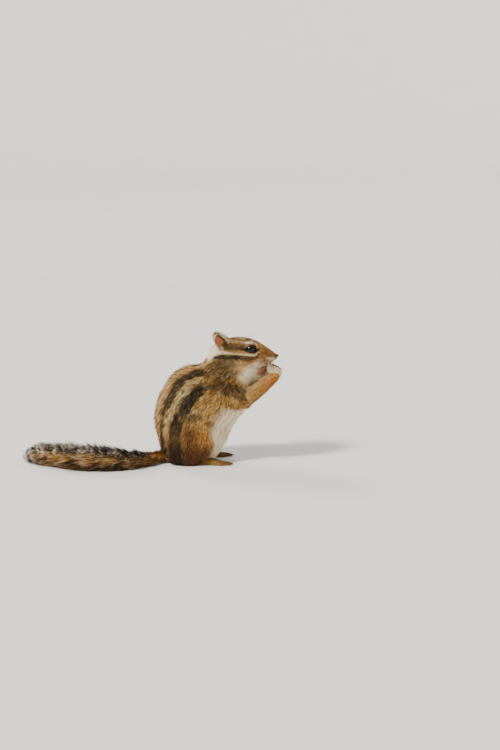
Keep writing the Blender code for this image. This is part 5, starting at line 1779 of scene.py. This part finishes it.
@dataclass
class Whiskers:
    """Long fine whiskers from the pad of the muzzle, with a few over the eye."""

    side: Side
    rows: int = 4
    columns: int = 5
    seed: int = 3

    def build(self) -> bpy.types.Object:
        """Makes one side's whiskers."""
        draw = np.random.default_rng(self.seed)
        side = self.side.value
        rods = []
        for i, j in itertools.product(range(self.rows), range(self.columns)):
            start = np.array([53.2 - 1.5 * j, side * (3.4 + 0.62 * j), 78.6 - 0.95 * i - 0.1 * j])
            way = unit(np.array([0.45 - 0.32 * j, side * (1.0 + 0.1 * j), 0.30 - 0.22 * i]) + draw.normal(0, 0.07, 3))
            length = (9.0 + 3.0 * j) * draw.uniform(0.8, 1.1)
            rods.append(horn_rows(start - way * 0.8, way, np.array([-0.75, 0.0, -0.5]), length, 0.07, 0.28))
        for i in range(3):
            start = np.array([39.6 - 1.2 * i, side * 7.4, 90.4])
            way = unit(np.array([0.2 - 0.3 * i, side * 0.75, 0.8]))
            rods.append(horn_rows(start - way * 0.6, way, np.array([-0.9, 0.0, -0.1]), 8.0 + i, 0.06, 0.3))
        finish = GrainFinish("whisker_hair", (0.07, 0.05, 0.04), (0.22, 0.17, 0.13), 0.4, 0.0004, 0.00001).build()
        return join_rods(rods).build("whiskers_" + self.side.word, finish, "coat")


@dataclass
class Studio:
    """A pale floor that sweeps up into a wall all round, soft lights and the camera of the photograph."""

    flat: float = 2.6
    wall: float = 1.3
    target: Point = (37.0, 0.0, 64.6)
    elevation: float = 10.0
    distance: float = 1.542

    def floor(self) -> bpy.types.Object:
        """Makes the floor, which isn't part of the animal."""
        sides = 96
        bend = np.linspace(0.0, math.pi / 2, 16)
        radii = np.concatenate([[0.15, 0.5, 1.2], self.flat + self.wall * np.sin(bend)])
        heights = np.concatenate([[0.0, 0.0, 0.0], self.wall * (1 - np.cos(bend))])
        turns = np.arange(sides) * 2 * np.pi / sides
        points = np.stack([radii[:, None] * np.cos(turns), radii[:, None] * np.sin(turns),
                           np.repeat(heights[:, None], sides, axis=1)], axis=-1).reshape(-1, 3)
        faces = np.array(tube_faces(len(radii), sides))[:, ::-1]
        middle = np.arange(sides)
        cap = np.stack([np.full(sides, len(points)), middle, (middle + 1) % sides], axis=1)
        mesh = bpy.data.meshes.new("floor")
        fill_mesh(mesh, np.vstack([points, [[0.0, 0.0, 0.0]]]), [np.vstack([faces, cap])])
        mesh.materials.append(FloorFinish().build())
        mesh.shade_smooth()
        made = bpy.data.objects.new("floor", mesh)
        bpy.context.scene.collection.objects.link(made)
        made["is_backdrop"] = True
        return made

    def light(self, name: str, place: Point, spread: float, strength: float, colour: Point = (1.0, 1.0, 1.0)) -> None:
        """Hangs one far, soft light that faces the animal.

        Args:
            name: Its name.
            place: The way to it.
            spread: How wide it looks, in degrees, so how soft its shadows are.
            strength: Its strength.
            colour: Its colour.
        """
        data = bpy.data.lights.new(name, "SUN")
        data.angle, data.energy, data.color = math.radians(spread), strength, colour
        made = bpy.data.objects.new(name, data)
        made.location = place
        made.rotation_euler = (-Vector(place)).to_track_quat("-Z", "Y").to_euler()
        bpy.context.scene.collection.objects.link(made)

    def camera(self) -> None:
        """Sets the camera where the photograph was taken from."""
        data = bpy.data.cameras.new("camera")
        data.sensor_fit, data.sensor_height, data.lens = "VERTICAL", 36.0, 100.0
        made = bpy.data.objects.new("camera", data)
        tilt = math.radians(self.elevation)
        away = np.array([0.0, -math.cos(tilt), math.sin(tilt)]) * self.distance
        made.location = BODY.metres(self.target) + away
        made.rotation_euler = (math.pi / 2 - tilt, 0.0, 0.0)
        bpy.context.scene.collection.objects.link(made)
        bpy.context.scene.camera = made

    def build(self) -> None:
        """Makes the floor, the lights, the sky's fill and the camera."""
        self.floor()
        self.light("key", (-0.9, -0.8, 1.2), 12.0, 4.8, (1.0, 0.95, 0.87))
        self.light("back", (-0.9, 1.2, 1.0), 16.0, 1.6, (1.0, 0.97, 0.92))
        world = bpy.data.worlds.new("studio")
        bpy.context.scene.world = world
        world.use_nodes = True
        background = world.node_tree.nodes["Background"]
        background.inputs["Color"].default_value = (0.93, 0.95, 1.0, 1.0)
        background.inputs["Strength"].default_value = 0.72
        self.camera()


def write_sizes() -> None:
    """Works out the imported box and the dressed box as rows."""
    boxes = {"cad": CAD_BOX, "visual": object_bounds()}
    rows = {name: [list(low), list(high)] for name, (low, high) in boxes.items()}


def main() -> None:
    """Builds each piece in order."""
    logging.basicConfig(level=logging.INFO, format="%(relativeCreated)6d ms %(message)s")
    markings, tail = Markings(), TailPath()
    skin = Skin(markings, tail)
    skin.build()
    Coat(skin, markings).build()
    TailHair(tail, skin).build()
    for side in Side:
        eye = Eye(side)
        eye.ball()
        eye.lids()
        Hand(side).digits()
        Hand(side).down(skin)
        Claws(side).build()
        Whiskers(side).build()
    Nose().build()
    Studio().build()
    write_sizes()


if __name__ == "__main__":
    main()
